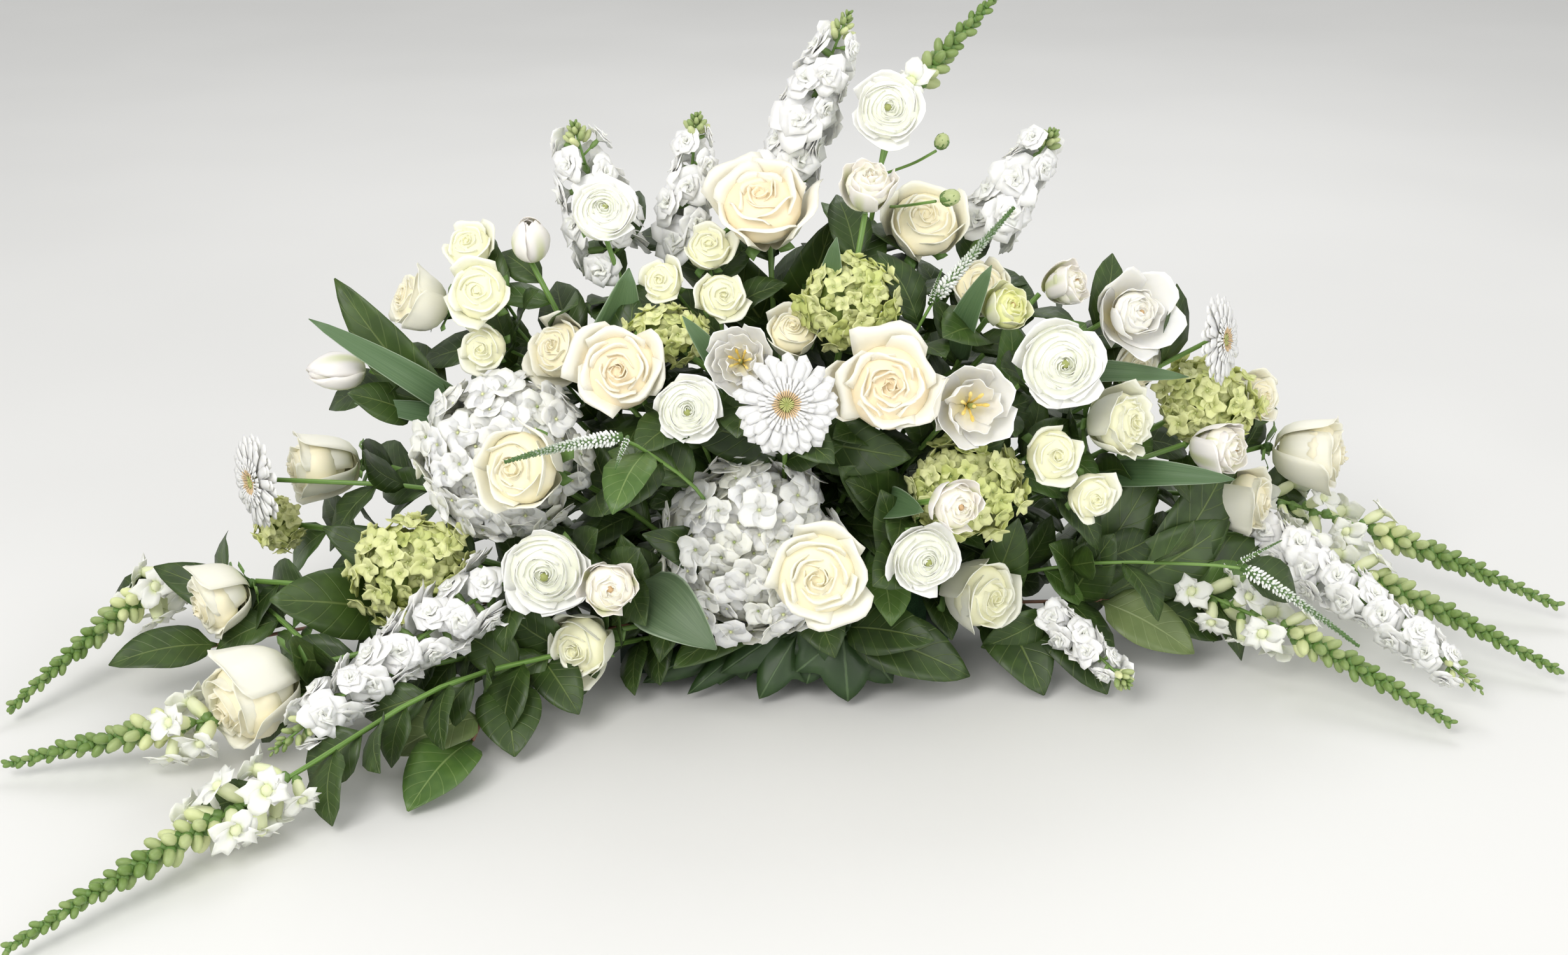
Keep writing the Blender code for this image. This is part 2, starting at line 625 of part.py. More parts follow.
def tulips():
    def closed(*row, **more):
        return flower(CLOSED_TULIP, 6, "tulip_petal", 5, *row, **more)

    def opened(*row, **more):
        return flower(OPEN_TULIP, 6, "tulip_petal", 5, *row, **more)

    upper = closed((24.8, -1, 34.6), 58, 26, 23)
    centre = opened((15.6, -15, 28.4), 12, 16, 34)
    return {
        "tulip_upper_left": leaved(
            closed((-21.8, -3.5, 39.5), 8, 66, 16, height=1.1),
            ("strap", 0, 0.58, (-13.2, -6, 37.6), 50, 20, 20),
        ),
        "tulip_far_left": leaved(
            closed((-39.4, -4, 27.6), -70, 4, 17, height=1.25),
            ("strap", 0, 0.62, (-40.6, -7, 33.4), 26, 0, 30), ("strap", 0, 0.6, (-37.5, -6, 25.4), 22, 0, 30),
        ),
        "tulip_middle": leaved(
            opened((-3.6, -14.6, 32.2), -5, 24, 27), ("strap", 0, 0.7, (-8.4, -12.5, 35.4), 26, 10, 20),
        ),
        "tulip_top": leaved(
            closed((7.2, -4.5, 44.2), 8, 58, 25),
            ("strap", 0, 0.6, (4.4, -8.5, 41), 32, -20, 20),
        ),
        "tulips_upper_right": leaved(
            together(
                upper, closed((18.9, -7, 34.3), 34, 32, 23, root=on_stem(upper, 0.5)),
                opened((31, -1, 32), 22, 20, 37, root=on_stem(upper, 0.4)),
            ),
            ("strap", 1, 0.4, (17.4, -8.6, 38.6), 28, -20, 20), ("strap", 2, 0.6, (37, -2, 28.4), 22, 0, 30),
        ),
        "tulip_right": leaved(
            closed((39, -3.6, 20.2), 46, 8, 27),
            ("strap", 0, 0.66, (39.5, -8, 19), 26, 0, 30),
        ),
        "tulips_centre_right": leaved(
            together(centre, closed((14, -19.6, 21.4), 28, 10, 23, height=0.8, root=on_stem(centre, 0.3))),
            ("strap", 1, 0.3, (11.6, -17.6, 20), 32, 0, 30),
        ),
        "tulip_front_left": leaved(
            closed((-14.4, -21.6, 15), 10, 12, 24, height=0.8),
            ("sage", 0, 0.72, (-6.6, -21.5, 10.4), 60, 20, 10),
        ),
    }


def gerberas():
    return {
        "gerbera_centre": daisy((0.2, -18, 29.6), 2, 20, 44),
        "gerbera_right": daisy((38.9, -0.5, 29.4), 48, 10, 41),
        "gerbera_left": daisy((-47.4, -4, 17.2), -38, 2, 45, via=(-22, -5, 17)),
    }


def spikes():
    top = stock((-0.6, 5, 41.6), (5.5, 5.6, 56.9), 38, 8)
    far = snapdragon((43, 8, 8), (69.4, -10.6, 1.6), 1.4, 6, 4, 0.42)
    right = stock((44.6, 3, 9.2), (60.2, -16.6, 3), 32, 8, 1.0)
    left = snapdragon((-47, -24.6, 4.4), (-64, -27, 1.4), 0.4, 7, 3, 0.2, via=(-25, -13, 7))
    return {
        "stocks_top": together(
            top, stock((-9, 3, 36.5), (-7.6, 3.5, 48.4), 32, 5, buds=0, root=on_stem(top, 0.5)),
        ),
        "stock_upper_left": stock((-15, 1, 36), (-18.2, 2, 48), 43, 6, buds=0),
        "stock_upper_right": stock((17.4, 5.4, 37), (23.8, 5.4, 46.6), 39, 6),
        "stock_front_left": stock((-24, -15, 12.6), (-41, -29.8, 4.4), 37, 9, 0.6, buds=0),
        "stocks_right": together(
            right, stock((23.5, -9, 6.4), (29.8, -15.6, 3), 25, 4, 0.6, buds=0, root=on_stem(right, 0.4)),
        ),
        "snapdragon_top": snapdragon((10.6, 7, 49.5), (18.6, 9, 58), 0, 6, 2, 0.1),
        "snapdragons_left": together(
            left, snapdragon((-56, -2, 7.4), (-67, -17.5, 1.4), 1, 7, 3, 0.2, root=on_stem(left, 0.35)),
        ),
        "snapdragon_front_left": snapdragon(
            (-38.6, -33.4, 4.2), (-55, -53, 1.4), 0.6, 10, 5, 0.3, via=(-26, -22, 12.4)
        ),
        "snapdragons_right": together(
            far, snapdragon((45, 14.6, 9), (73.6, 2, 2), 1.4, 6, 4, 0.42, root=on_stem(far, 0.35)),
            snapdragon((36, -3.5, 7), (57, -20, 1.4), 1.6, 6, 4, 0.42, root=on_stem(far, 0.3)),
        ),
        "veronica_left": veronica((-12.8, -21, 28), (-22, -24.6, 27.2), 7, (-13.4, -23.6, 26.2), 0.5),
        "veronica_top": veronica((12.6, -6.6, 34.8), (19.6, -4, 42.4), 8, (13.2, -9, 38.4)),
        "veronica_right": veronica((39.7, -11.6, 12.4), (49.1, -17.6, 7.5), 7, (42.8, -13, 15.4), 0.6),
    }


def hydrangeas():
    green = "green_floret"
    upper = head((5.5, -7, 34.8), (43, 34, 42), 5, 40, 12, green)
    left = head((-32, -10.6, 11.2), (60, 40, 54), -38, 10, 15, green)
    return {
        "hydrangea_left": head((-24, -9, 21.5), (76, 56, 73), -28, 25, 22, "white_petal"),
        "hydrangea_front": leaved(
            head((-2.9, -11, 13.6), (78, 60, 86), -3, 15, 24, "white_petal"),
            ("leaf", 0, 0.7, (-12, -15.4, 17), 48, 0, 20), ("small", 0, 0.6, (-12.6, -13, 11.6), 50, 0, 20),
        ),
        "green_hydrangeas_upper": together(
            upper, head((-10, -8, 32.2), (38, 28, 27), -8, 40, 8, green, on_stem(upper, 0.4))
        ),
        "green_hydrangeas_left": together(
            left, head((-46.6, 1.4, 10.8), (29, 24, 24), -56, 0, 7, green, on_stem(left, 0.4))
        ),
        "green_hydrangea_middle": leaved(
            head((15.4, -11, 19.4), (54, 38, 48), 26, 10, 13, green),
            ("small", 0, 0.6, (4.6, -12.6, 22), 50, 0, 20), ("small", 0, 0.8, (19, -9.6, 28.6), 50, 0, 20),
        ),
        "green_hydrangea_right": head((38.5, 3.4, 21.8), (56, 38, 43), 48, 20, 13, green),
    }


def greenery():
    return {
        "salal_left": leaved(
            together(twig((-16, -2, 18), (-34, -4, 24)), twig((-20, -4, 8.4), (-52, -11, 4))),
            ("leaf", 0, 0.85, (-39, -3, 35.8), 46, -4, 10), ("small", 0, 0.96, (-37.6, -8, 27), 38, 6, 40),
            ("leaf", 1, 0.7, (-44.6, -13.6, 10), 66, 4, 40), ("small", 1, 0.55, (-41, -7, 14), 56, 4, 30),
            ("leaf", 1, 0.86, (-56.6, -6.6, 10), 46, 6, 40), ("leaf", 1, 0.97, (-58.8, -15, 4.4), 46, 6, 60),
        ),
        "salal_front_left": leaved(
            twig((-14, -10, 8), (-26, -16, 6), (-26, -24, 2)),
            ("leaf", 0, 0.75, (-22.4, -25, 1), 56, 6, 40), ("small", 0, 0.6, (-17.4, -20.6, 2.6), 42, 10, 40),
            ("leaf", 0, 0.9, (-32.4, -26.4, 2), 50, 0, 60), ("leaf", 0, 1, (-30, -33, 0.6), 56, 0, 70),
            ("small", 0, 0.68, (-28, -15.6, 8), 40, 0, 40),
        ),
        "ivy_front": leaved(
            twig((-4, -7, 5.6), (0, -10.5, 5.4), (5, -11.6, 6.4)),
            ("ivy", 0, 0.5, (-8.6, -13.4, 0.6), 46, -4, 30), ("ivy", 0, 0.75, (-2.2, -14.2, 0.6), 64, -4, 30),
            ("ivy", 0, 1, (5.6, -14.6, 0.6), 88, 6, 30),
        ),
        "salal_right": leaved(
            twig((14, -6, 6), (32, -5, 6)),
            ("leaf", 0, 0.6, (23, -13.4, 0.6), 62, 0, 50), ("leaf", 0, 0.75, (28.6, -13.2, 0.6), 60, 0, 50),
            ("leaf", 0, 0.9, (37, -8.8, 2.4), 52, 0, 50), ("small", 0, 1, (40, -6.4, 2.6), 38, 0, 50),
            ("small", 0, 0.82, (29.4, -7, 13.4), 50, -8, 30),
        ),
        "salal_centre": leaved(
            twig((1, -6, 14), (1, -8.4, 23)),
            ("leaf", 0, 1, (10.8, -12, 22.6), 50, 6, 20), ("leaf", 0, 0.95, (-9, -9.4, 25), 50, -6, 20),
            ("leaf", 0, 1, (13, -7.6, 31.4), 46, 6, 30),
        ),
        "salal_back": leaved(
            twig((0, 4, 16), (0, 5, 28)),
            ("leaf", 0, 0.95, (-7, 1.6, 39), 60, -10, 10), ("leaf", 0, 1, (4.2, 0.6, 40), 60, 16, 10),
            ("leaf", 0, 0.9, (-12, 9, 36), 54, 160, 10), ("leaf", 0, 0.9, (12, 9.4, 34), 54, 200, 10),
        ),
    }


# Building: every shell becomes an object, the pieces of one plant are fused, and what crosses is trimmed clear


def shell_object(name, shell, materials, grow=0.0):
    points, faces, stuff = shell
    mesh = bpy.data.meshes.new(name)
    mesh.from_pydata([tuple(p) for p in points], [], faces)
    mesh.materials.append(materials[stuff])
    mesh.update()
    if grow:
        shape = bmesh.new()
        shape.from_mesh(mesh)
        shape.normal_update()
        moves = [vertex.normal * (grow * min(vertex.calc_shell_factor(), MAX_GROWTH)) for vertex in shape.verts]
        for vertex, move in zip(shape.verts, moves):
            vertex.co += move
        shape.to_mesh(mesh)
        shape.free()
    obj = bpy.data.objects.new(name, mesh)
    bpy.context.scene.collection.objects.link(obj)
    return obj


def combine(main, others, operation):
    """main joined with, or cut by, the other objects, which are then removed."""
    if not others:
        return main
    group = bpy.data.collections.new("pieces")
    bpy.context.scene.collection.children.link(group)
    for other in others:
        bpy.context.scene.collection.objects.unlink(other)
        group.objects.link(other)
    step = main.modifiers.new("combine", "BOOLEAN")
    step.operation = operation
    step.operand_type = "COLLECTION"
    step.collection = group
    step.solver = "MANIFOLD"
    step.material_mode = "TRANSFER"
    graph = bpy.context.evaluated_depsgraph_get()
    made = bpy.data.meshes.new_from_object(main.evaluated_get(graph))
    main.modifiers.remove(step)
    main.data = made
    for other in others:
        bpy.data.objects.remove(other)
    bpy.data.collections.remove(group)
    return main


def box_of(points):
    low = [min(p[i] for p in points) for i in range(3)]
    high = [max(p[i] for p in points) for i in range(3)]
    return low, high


def boxes_meet(a, b):
    return all(a[0][i] - 2 * GAP < b[1][i] and b[0][i] - 2 * GAP < a[1][i] for i in range(3))


def trim(obj, shells, materials):
    """Cuts obj clear of these shells, with a gap."""
    own = box_of([v.co for v in obj.data.vertices])
    near = [s for s in shells if boxes_meet(own, box_of(s[0]))]
    return combine(obj, [shell_object("cutter", s, materials, GAP) for s in near], "DIFFERENCE")


def bodies_of(shape):
    """The loose bodies of a shape, smallest first, as sets of points."""
    left = set(shape.verts)
    bodies = []
    while left:
        body, front = set(), [left.pop()]
        while front:
            vertex = front.pop()
            body.add(vertex)
            for edge in vertex.link_edges:
                other = edge.other_vert(vertex)
                if other in left:
                    left.remove(other)
                    front.append(other)
        bodies.append(body)
    return sorted(bodies, key=len)


def closed(shape):
    return all(len(edge.link_faces) == 2 for edge in shape.edges)


def keep_one_body(obj):
    """Drops loose scraps, so that one closed body is left, and joins triangles that lie in one plane."""
    shape = bmesh.new()
    shape.from_mesh(obj.data)
    for body in bodies_of(shape)[:-1]:
        bmesh.ops.delete(shape, geom=list(body), context="VERTS")
    for weld, flat, method in ((WELD, FLAT, "BEAUTY"), (WELD, FLAT, "EAR_CLIP"), (0, FLAT, "EAR_CLIP"), (0, 0, "BEAUTY")):
        tidy = shape.copy()
        bmesh.ops.remove_doubles(tidy, verts=tidy.verts, dist=weld)
        bmesh.ops.dissolve_limit(tidy, angle_limit=flat, verts=tidy.verts, edges=tidy.edges, delimit={"MATERIAL"})
        bmesh.ops.triangulate(tidy, faces=tidy.faces, ngon_method=method)
        good = closed(tidy) and len(bodies_of(tidy)) == 1
        tidy.to_mesh(obj.data)
        tidy.free()
        if good:
            break
    else:
        raise ValueError(f"{obj.name} isn't one closed body")
    shape.free()


def fuse(name, shells, materials):
    first, *rest = [shell_object(name, s, materials) for s in shells]
    first.name = name
    return combine(first, rest, "UNION")


def build_plants(plants, materials):
    """One object a plant. Stems come first, blooms make room for other stems, and leaves for everything."""
    names = list(plants)
    for number, name in enumerate(names):
        own = plants[name]
        earlier = [plants[n] for n in names[:number]]
        others = [plants[n] for n in names if n != name]
        whole = fuse(name, own["stems"], materials)
        trim(whole, [s for p in earlier for s in p["stems"]], materials)
        layers = []
        if own["blooms"]:
            blooms = fuse("bloom", own["blooms"], materials)
            crossing = [s for p in others for s in p["stems"]] + [s for p in earlier for s in p["blooms"]]
            layers.append(trim(blooms, crossing, materials))
        if own["leaves"]:
            leaves = fuse("leaf", own["leaves"], materials)
            crossing = [s for p in others for s in p["stems"] + p["blooms"]] + [s for p in earlier for s in p["leaves"]]
            layers.append(trim(leaves, crossing, materials))
        combine(whole, layers, "UNION")
        keep_one_body(whole)


def block(name, size, foot, stuff, materials, bevel):
    """A box that stands at the foot height, with its upright edges cut off by bevel."""
    x, y = size[0] / 2, size[1] / 2
    outline = [
        (x - bevel, -y), (x, bevel - y), (x, y - bevel), (x - bevel, y),
        (bevel - x, y), (-x, y - bevel), (-x, bevel - y), (bevel - x, -y),
    ]
    points = [Vector((px, py, foot + rise)) for rise in (0, size[2]) for px, py in outline]
    faces = [tuple(reversed(range(8))), tuple(range(8, 16))]
    faces += [(i, (i + 1) % 8, (i + 1) % 8 + 8, i + 8) for i in range(8)]
    return shell_object(name, (points, faces, stuff), materials)


def make_tray(materials):
    """A low tray with a turned-out lip."""
    tray = block("tray", (TRAY_LENGTH, TRAY_WIDTH, TRAY_HEIGHT), 0, "tray", materials, 20 * MM)
    lip_size = (TRAY_LENGTH + 2 * TRAY_LIP, TRAY_WIDTH + 2 * TRAY_LIP, TRAY_WALL)
    lip = block("lip", lip_size, TRAY_HEIGHT - TRAY_WALL, "tray", materials, 22 * MM)
    combine(tray, [lip], "UNION")
    inner = (TRAY_LENGTH - 2 * TRAY_WALL, TRAY_WIDTH - 2 * TRAY_WALL, TRAY_HEIGHT)
    combine(tray, [block("hollow", inner, TRAY_FLOOR, "tray", materials, 18.5 * MM)], "DIFFERENCE")
    keep_one_body(tray)


def make_foam(plants, materials):
    """The soaked block that every stem stands in, with a plain hole for each."""
    size = (FOAM_LENGTH, FOAM_WIDTH, FOAM_HEIGHT)
    foam = block("foam", size, TRAY_FLOOR + GAP, "foam", materials, FOAM_CHAMFER)
    trim(foam, [s for p in plants.values() for s in p["stems"]], materials)
    keep_one_body(foam)


def main():
    clear_scene()
    materials = make_materials()
    plants = {}
    for group in (roses, ranunculuses, gerberas, tulips, spray_roses, spikes, hydrangeas, greenery):
        plants.update(group())
    build_plants(plants, materials)
    make_foam(plants, materials)
    make_tray(materials)


main()
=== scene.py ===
# %% [markdown]
# # A sheaf of white and green flowers
#
# This lesson dresses a long, low sheaf of cut flowers: roses, tulips, ranunculuses, gerberas, stocks, snapdragons,
# veronicas and hydrangeas, with broad leaves between them. The solids already stand in their places. Each is one
# cut stem with its bloom, and here each gets its real petals.
#
# A flower is the same petal again and again, each a little larger and more open than the one inside it. So the
# lesson models a sheet once with Blender's grid primitive, bends it by a rule, and sets it round the flower.

# %% Loading the solids
import math

import bpy
import numpy as np
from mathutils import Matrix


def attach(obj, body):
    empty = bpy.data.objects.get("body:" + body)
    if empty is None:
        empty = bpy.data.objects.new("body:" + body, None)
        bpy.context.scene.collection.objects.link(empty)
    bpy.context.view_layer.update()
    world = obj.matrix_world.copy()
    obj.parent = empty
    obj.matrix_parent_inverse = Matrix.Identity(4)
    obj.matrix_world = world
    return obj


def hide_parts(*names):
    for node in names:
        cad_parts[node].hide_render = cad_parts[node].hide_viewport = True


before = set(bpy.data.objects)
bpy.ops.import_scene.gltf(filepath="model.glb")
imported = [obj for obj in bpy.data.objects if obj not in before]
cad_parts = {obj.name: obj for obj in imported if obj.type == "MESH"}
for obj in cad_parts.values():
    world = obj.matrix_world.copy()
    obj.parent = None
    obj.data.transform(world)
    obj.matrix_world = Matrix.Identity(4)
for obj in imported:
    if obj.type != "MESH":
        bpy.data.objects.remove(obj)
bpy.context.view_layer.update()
print("solids:", len(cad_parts))

# %% [markdown]
# ## The camera, the floor and the light
#
# The flowers are seen from the front and a little above, through a normal lens from 1.8 m. A large soft light
# hangs over the front left, a second one fills from the right, and a pale sky lights the rest, as in a bright shop.
# A pale floor carries the tray.

# %% Camera
CM, MM = 0.01, 0.001
LENS, SENSOR = 47.79, 36.0
CAMERA_TARGET, CAMERA_DISTANCE, CAMERA_LIFT = (0, -10 * CM, 20 * CM), 180 * CM, math.radians(22)

bpy.ops.object.select_all(action="DESELECT")
bpy.ops.object.camera_add(
    location=(
        CAMERA_TARGET[0],
        CAMERA_TARGET[1] - CAMERA_DISTANCE * math.cos(CAMERA_LIFT),
        CAMERA_TARGET[2] + CAMERA_DISTANCE * math.sin(CAMERA_LIFT),
    ),
    rotation=(math.radians(90) - CAMERA_LIFT, 0, 0),
)
camera = bpy.context.object
camera.name = "camera"
camera.data.lens, camera.data.sensor_width = LENS, SENSOR
bpy.context.scene.camera = camera

# %% Light
def soft_light(name, place, size, power, colour):
    """A square area light that looks at the middle of the sheaf."""
    bpy.ops.object.light_add(type="AREA", location=place)
    lamp = bpy.context.object
    lamp.name = name
    lamp.data.size, lamp.data.energy, lamp.data.color = size, power, colour
    way = np.array(CAMERA_TARGET) - np.array(place)
    flat = math.hypot(way[0], way[1])
    lamp.rotation_euler = (math.pi / 2 + math.atan2(way[2], flat), 0, math.atan2(-way[0], way[1]))


soft_light("light_front_left", (-1.2, -2.2, 2.3), 1.6, 58, (1.0, 0.98, 0.95))
soft_light("light_right", (2.0, -2.0, 1.3), 1.6, 24, (1.0, 0.99, 0.97))
soft_light("light_back", (0.4, 2.0, 2.4), 1.4, 20, (1.0, 1.0, 1.0))

SKY_COLOUR, SKY_STRENGTH = (1.0, 1.0, 0.99, 1), 0.66
world = bpy.context.scene.world or bpy.data.worlds.new("sky")
bpy.context.scene.world = world
world.use_nodes = True
sky = world.node_tree.nodes["Background"]
sky.inputs["Color"].default_value = SKY_COLOUR
sky.inputs["Strength"].default_value = SKY_STRENGTH
bpy.context.scene.view_settings.view_transform = "Standard"

# %% [markdown]
# ## Shader sums as Python sums
#
# A material is a sum over the surface. This small class wraps one output socket, so that `+`, `-` and `*` add the
# Math nodes, and one method makes any other node. A petal then reads as it would on paper.

# %% The shader class
LIGHT_REACH, LIGHT_TINT = 2 * MM, (1.0, 0.9, 0.6)
NOISE_DETAIL = 2.0


class Value:
    """One output of a node. Sums with it add Math nodes."""

    def __init__(self, paint, socket):
        self.paint, self.socket = paint, socket

    def math(self, operation, *others):
        return self.paint.node("ShaderNodeMath", {"operation": operation}, [self, *others])[0]

    def __add__(self, other):
        return self.math("ADD", other)

    def __mul__(self, other):
        return self.math("MULTIPLY", other)

    def __sub__(self, other):
        return self.math("SUBTRACT", other)

    def __rsub__(self, other):
        return (self * -1) + other

    __radd__, __rmul__ = __add__, __mul__

    def between(self, low, high):
        """0 below low, 1 above high, and a soft step between."""
        settings = {"interpolation_type": "SMOOTHSTEP"}
        return self.paint.node("ShaderNodeMapRange", settings, [self, low, high, 0.0, 1.0])[0]


class Paint:
    """A material with a Principled shader, and the means to add nodes to it."""

    def __init__(self, name, roughness, subsurface=0.0, coat=0.0):
        self.material = bpy.data.materials.new(name)
        self.material.use_nodes = True
        self.tree = self.material.node_tree
        self.shader = self.tree.nodes["Principled BSDF"]
        self.shader.inputs["Roughness"].default_value = roughness
        self.shader.inputs["Subsurface Weight"].default_value = subsurface
        self.shader.inputs["Subsurface Radius"].default_value = LIGHT_TINT
        self.shader.inputs["Subsurface Scale"].default_value = LIGHT_REACH
        self.shader.inputs["Coat Weight"].default_value = coat

    def node(self, kind, settings=(), values=()):
        """A node of this kind with these settings and input values or links. Returns its outputs as values."""
        made = self.tree.nodes.new(kind)
        for key, setting in dict(settings).items():
            setattr(made, key, setting)
        pairs = values.items() if isinstance(values, dict) else enumerate(values)
        for key, value in pairs:
            if isinstance(value, Value):
                self.tree.links.new(value.socket, made.inputs[key])
            else:
                made.inputs[key].default_value = value
        return [Value(self, socket) for socket in made.outputs]

    def sheet(self, layer):
        """The two numbers that the mesh keeps for each point in one of its maps."""
        place = self.node("ShaderNodeUVMap", {"uv_map": layer})[0]
        across, along, _ = self.node("ShaderNodeSeparateXYZ", (), [place])
        return across, along

    def noise(self, place, scale, detail):
        return self.node("ShaderNodeTexNoise", (), {"Vector": place, "Scale": scale, "Detail": detail})[0]

    def grain(self, across, along):
        """Soft random streaks: noise over the sheet, stretched by the two factors."""
        return self.noise(self.node("ShaderNodeCombineXYZ", (), [across, along, 0.0])[0], 1.0, NOISE_DETAIL)

    def clouds(self, scale, detail=NOISE_DETAIL):
        """Noise through space, on Object coordinates, scale to the metre."""
        return self.noise(self.node("ShaderNodeTexCoord")[3], scale, detail)

    def mix(self, factor, first, second):
        """One colour turning into another."""
        outputs = self.node(
            "ShaderNodeMix", {"data_type": "RGBA"},
            {0: factor, 6: first if isinstance(first, Value) else (*first, 1),
             7: second if isinstance(second, Value) else (*second, 1)},
        )
        return outputs[2]

    def finish(self, colour, height=None, strength=0.3, distance=0.5 * MM):
        self.tree.links.new(colour.socket, self.shader.inputs["Base Color"])
        if height is not None:
            bump = self.node("ShaderNodeBump", (), {"Strength": strength, "Distance": distance, "Height": height})[0]
            self.tree.links.new(bump.socket, self.shader.inputs["Normal"])
        return self.material


# %% [markdown]
# ## The finishes of petals
#
# A petal isn't one colour. It is warmer or greener low down and near the heart of the bloom, paler at the rim,
# and fine veins fan along it. Light also passes a little way through it, which is what the subsurface value does.
# The mesh keeps two maps: `petal` says where a point lies on its petal, across and along, and `tone` says how far
# out its petal stands in the bloom, and a random number of its own.

# %% Petal paints
PETAL_VEINS, PETAL_ROUGHNESS = 22.0, 0.5


def petal_paint(name, heart, outer, foot, foot_reach=0.5, subsurface=0.22, streak=None):
    """Colours for the heart of the bloom, its outer petals, each petal's foot, and a streak up its middle."""
    paint = Paint(name, PETAL_ROUGHNESS, subsurface)
    across, along = paint.sheet("petal")
    layer, chance = paint.sheet("tone")
    fan = paint.grain(across * PETAL_VEINS, along * 1.6)
    colour = paint.mix(layer.between(0.05, 0.75), heart, outer)
    colour = paint.mix(along.between(0.0, foot_reach), foot, colour)
    if streak:
        middle = 1.0 - (across - 0.5).math("ABSOLUTE").between(0.03, 0.2)
        colour = paint.mix(middle * (1.0 - along.between(0.45, 1.0)) * 0.75, colour, streak)
    shade = (fan - 0.5) * 0.10 + (chance - 0.5) * 0.07 + 1.0
    colour = paint.mix(shade.between(0.9, 1.1) * 0.12, colour, tuple(c * 0.80 for c in outer))
    return paint.finish(colour, fan, 0.25, 0.4 * MM)


STUFFS = {
    "rose": petal_paint("cream_rose", (0.94, 0.87, 0.64), (0.94, 0.92, 0.78), (0.88, 0.87, 0.62)),
    "rose_peach": petal_paint("peach_rose", (0.94, 0.81, 0.58), (0.95, 0.92, 0.79), (0.91, 0.86, 0.64)),
    "rose_green": petal_paint("green_rose", (0.91, 0.90, 0.64), (0.92, 0.92, 0.77), (0.82, 0.86, 0.54)),
    "ranunculus": petal_paint("ranunculus", (0.90, 0.92, 0.78), (0.96, 0.96, 0.92), (0.93, 0.93, 0.84)),
    "tulip": petal_paint(
        "tulip", (0.95, 0.92, 0.80), (0.96, 0.92, 0.87), (0.78, 0.82, 0.46), streak=(0.64, 0.70, 0.32)
    ),
    "tulip_open": petal_paint(
        "open_tulip", (0.97, 0.95, 0.86), (0.97, 0.96, 0.91), (0.93, 0.82, 0.42), subsurface=0.45,
    ),
    "tulip_green": petal_paint(
        "green_tulip", (0.86, 0.87, 0.42), (0.90, 0.90, 0.66), (0.62, 0.72, 0.26), streak=(0.60, 0.70, 0.22)
    ),
    "stock": petal_paint("stock", (0.92, 0.94, 0.84), (0.94, 0.94, 0.92), (0.82, 0.88, 0.58), foot_reach=0.25),
    "hydrangea": petal_paint(
        "hydrangea", (0.94, 0.94, 0.76), (0.97, 0.97, 0.92), (0.88, 0.90, 0.68), foot_reach=0.3, subsurface=0.4,
    ),
    "green_hydrangea": petal_paint(
        "green_hydrangea", (0.50, 0.58, 0.14), (0.77, 0.80, 0.38), (0.52, 0.61, 0.17),
    ),
    "gerbera": petal_paint("gerbera", (0.84, 0.84, 0.80), (0.87, 0.87, 0.85), (0.74, 0.77, 0.60), foot_reach=0.2),
    "snapdragon": petal_paint("snapdragon", (0.70, 0.76, 0.38), (0.89, 0.90, 0.82), (0.68, 0.76, 0.36)),
}
print("petal paints:", len(STUFFS))

# %% [markdown]
# ## The finishes of leaves, stems and buds
#
# A broad leaf has a pale rib and side veins that leave it at a slant, and the blade swells a little between them.
# A tulip's leaf has veins that all run along it, under a blue-grey bloom of wax. Stems are streaked along their
# length, and buds pass from green to white as they ripen, which the `tone` map says.

# %% Leaf paints
LEAF_FINISH = {"roughness": 0.48, "subsurface": 0.06, "coat": 0.05}
VEIN_PAIRS, VEIN_SLANT = 8.0, 0.42
STRAP_VEINS, STEM_STREAKS, BUD_STREAKS = 46.0, 14.0, 8.0
WAX_EDGE = (0.55, 0.66, 0.50)


def mottled(paint, chance, deep, light):
    """Two greens in soft patches, and one leaf a little lighter than the next."""
    mottle = paint.clouds(60.0)
    return mottle, paint.mix(mottle.between(0.35, 0.7) * 0.5 + chance * 0.5, deep, light)


def leaf_paint(name, deep, light, vein):
    paint = Paint(name, **LEAF_FINISH)
    across, along = paint.sheet("petal")
    _, chance = paint.sheet("tone")
    side = (across - 0.5).math("ABSOLUTE") * 2.0
    rib = 1.0 - side.between(0.015, 0.05)
    ladder = ((along - side * VEIN_SLANT * 0.5) * VEIN_PAIRS).math("FRACT")
    lines = 1.0 - (ladder - 0.5).math("ABSOLUTE").between(0.0, 0.07)
    veins = rib.math("MAXIMUM", lines * 0.55 * side.between(0.0, 0.1))
    mottle, colour = mottled(paint, chance, deep, light)
    return paint.finish(paint.mix(veins * 0.6, colour, vein), mottle * 0.4 - veins, 0.5, 0.8 * MM)


def strap_paint(name, deep, light):
    paint = Paint(name, 0.5, 0.06)
    across, along = paint.sheet("petal")
    _, chance = paint.sheet("tone")
    lines = paint.grain(across * STRAP_VEINS, along * 1.2)
    colour = paint.mix(lines.between(0.35, 0.7) * 0.6 + chance * 0.4, deep, light)
    edge = (across - 0.5).math("ABSOLUTE").between(0.45, 0.5)
    return paint.finish(paint.mix(edge * 0.5, colour, WAX_EDGE), lines, 0.4, 0.5 * MM)


def stem_paint(name, deep, light):
    paint = Paint(name, 0.45, 0.05)
    across, along = paint.sheet("petal")
    lines = paint.grain(across * STEM_STREAKS, along * 2.0)
    return paint.finish(paint.mix(lines.between(0.35, 0.7), deep, light), lines, 0.3, 0.3 * MM)


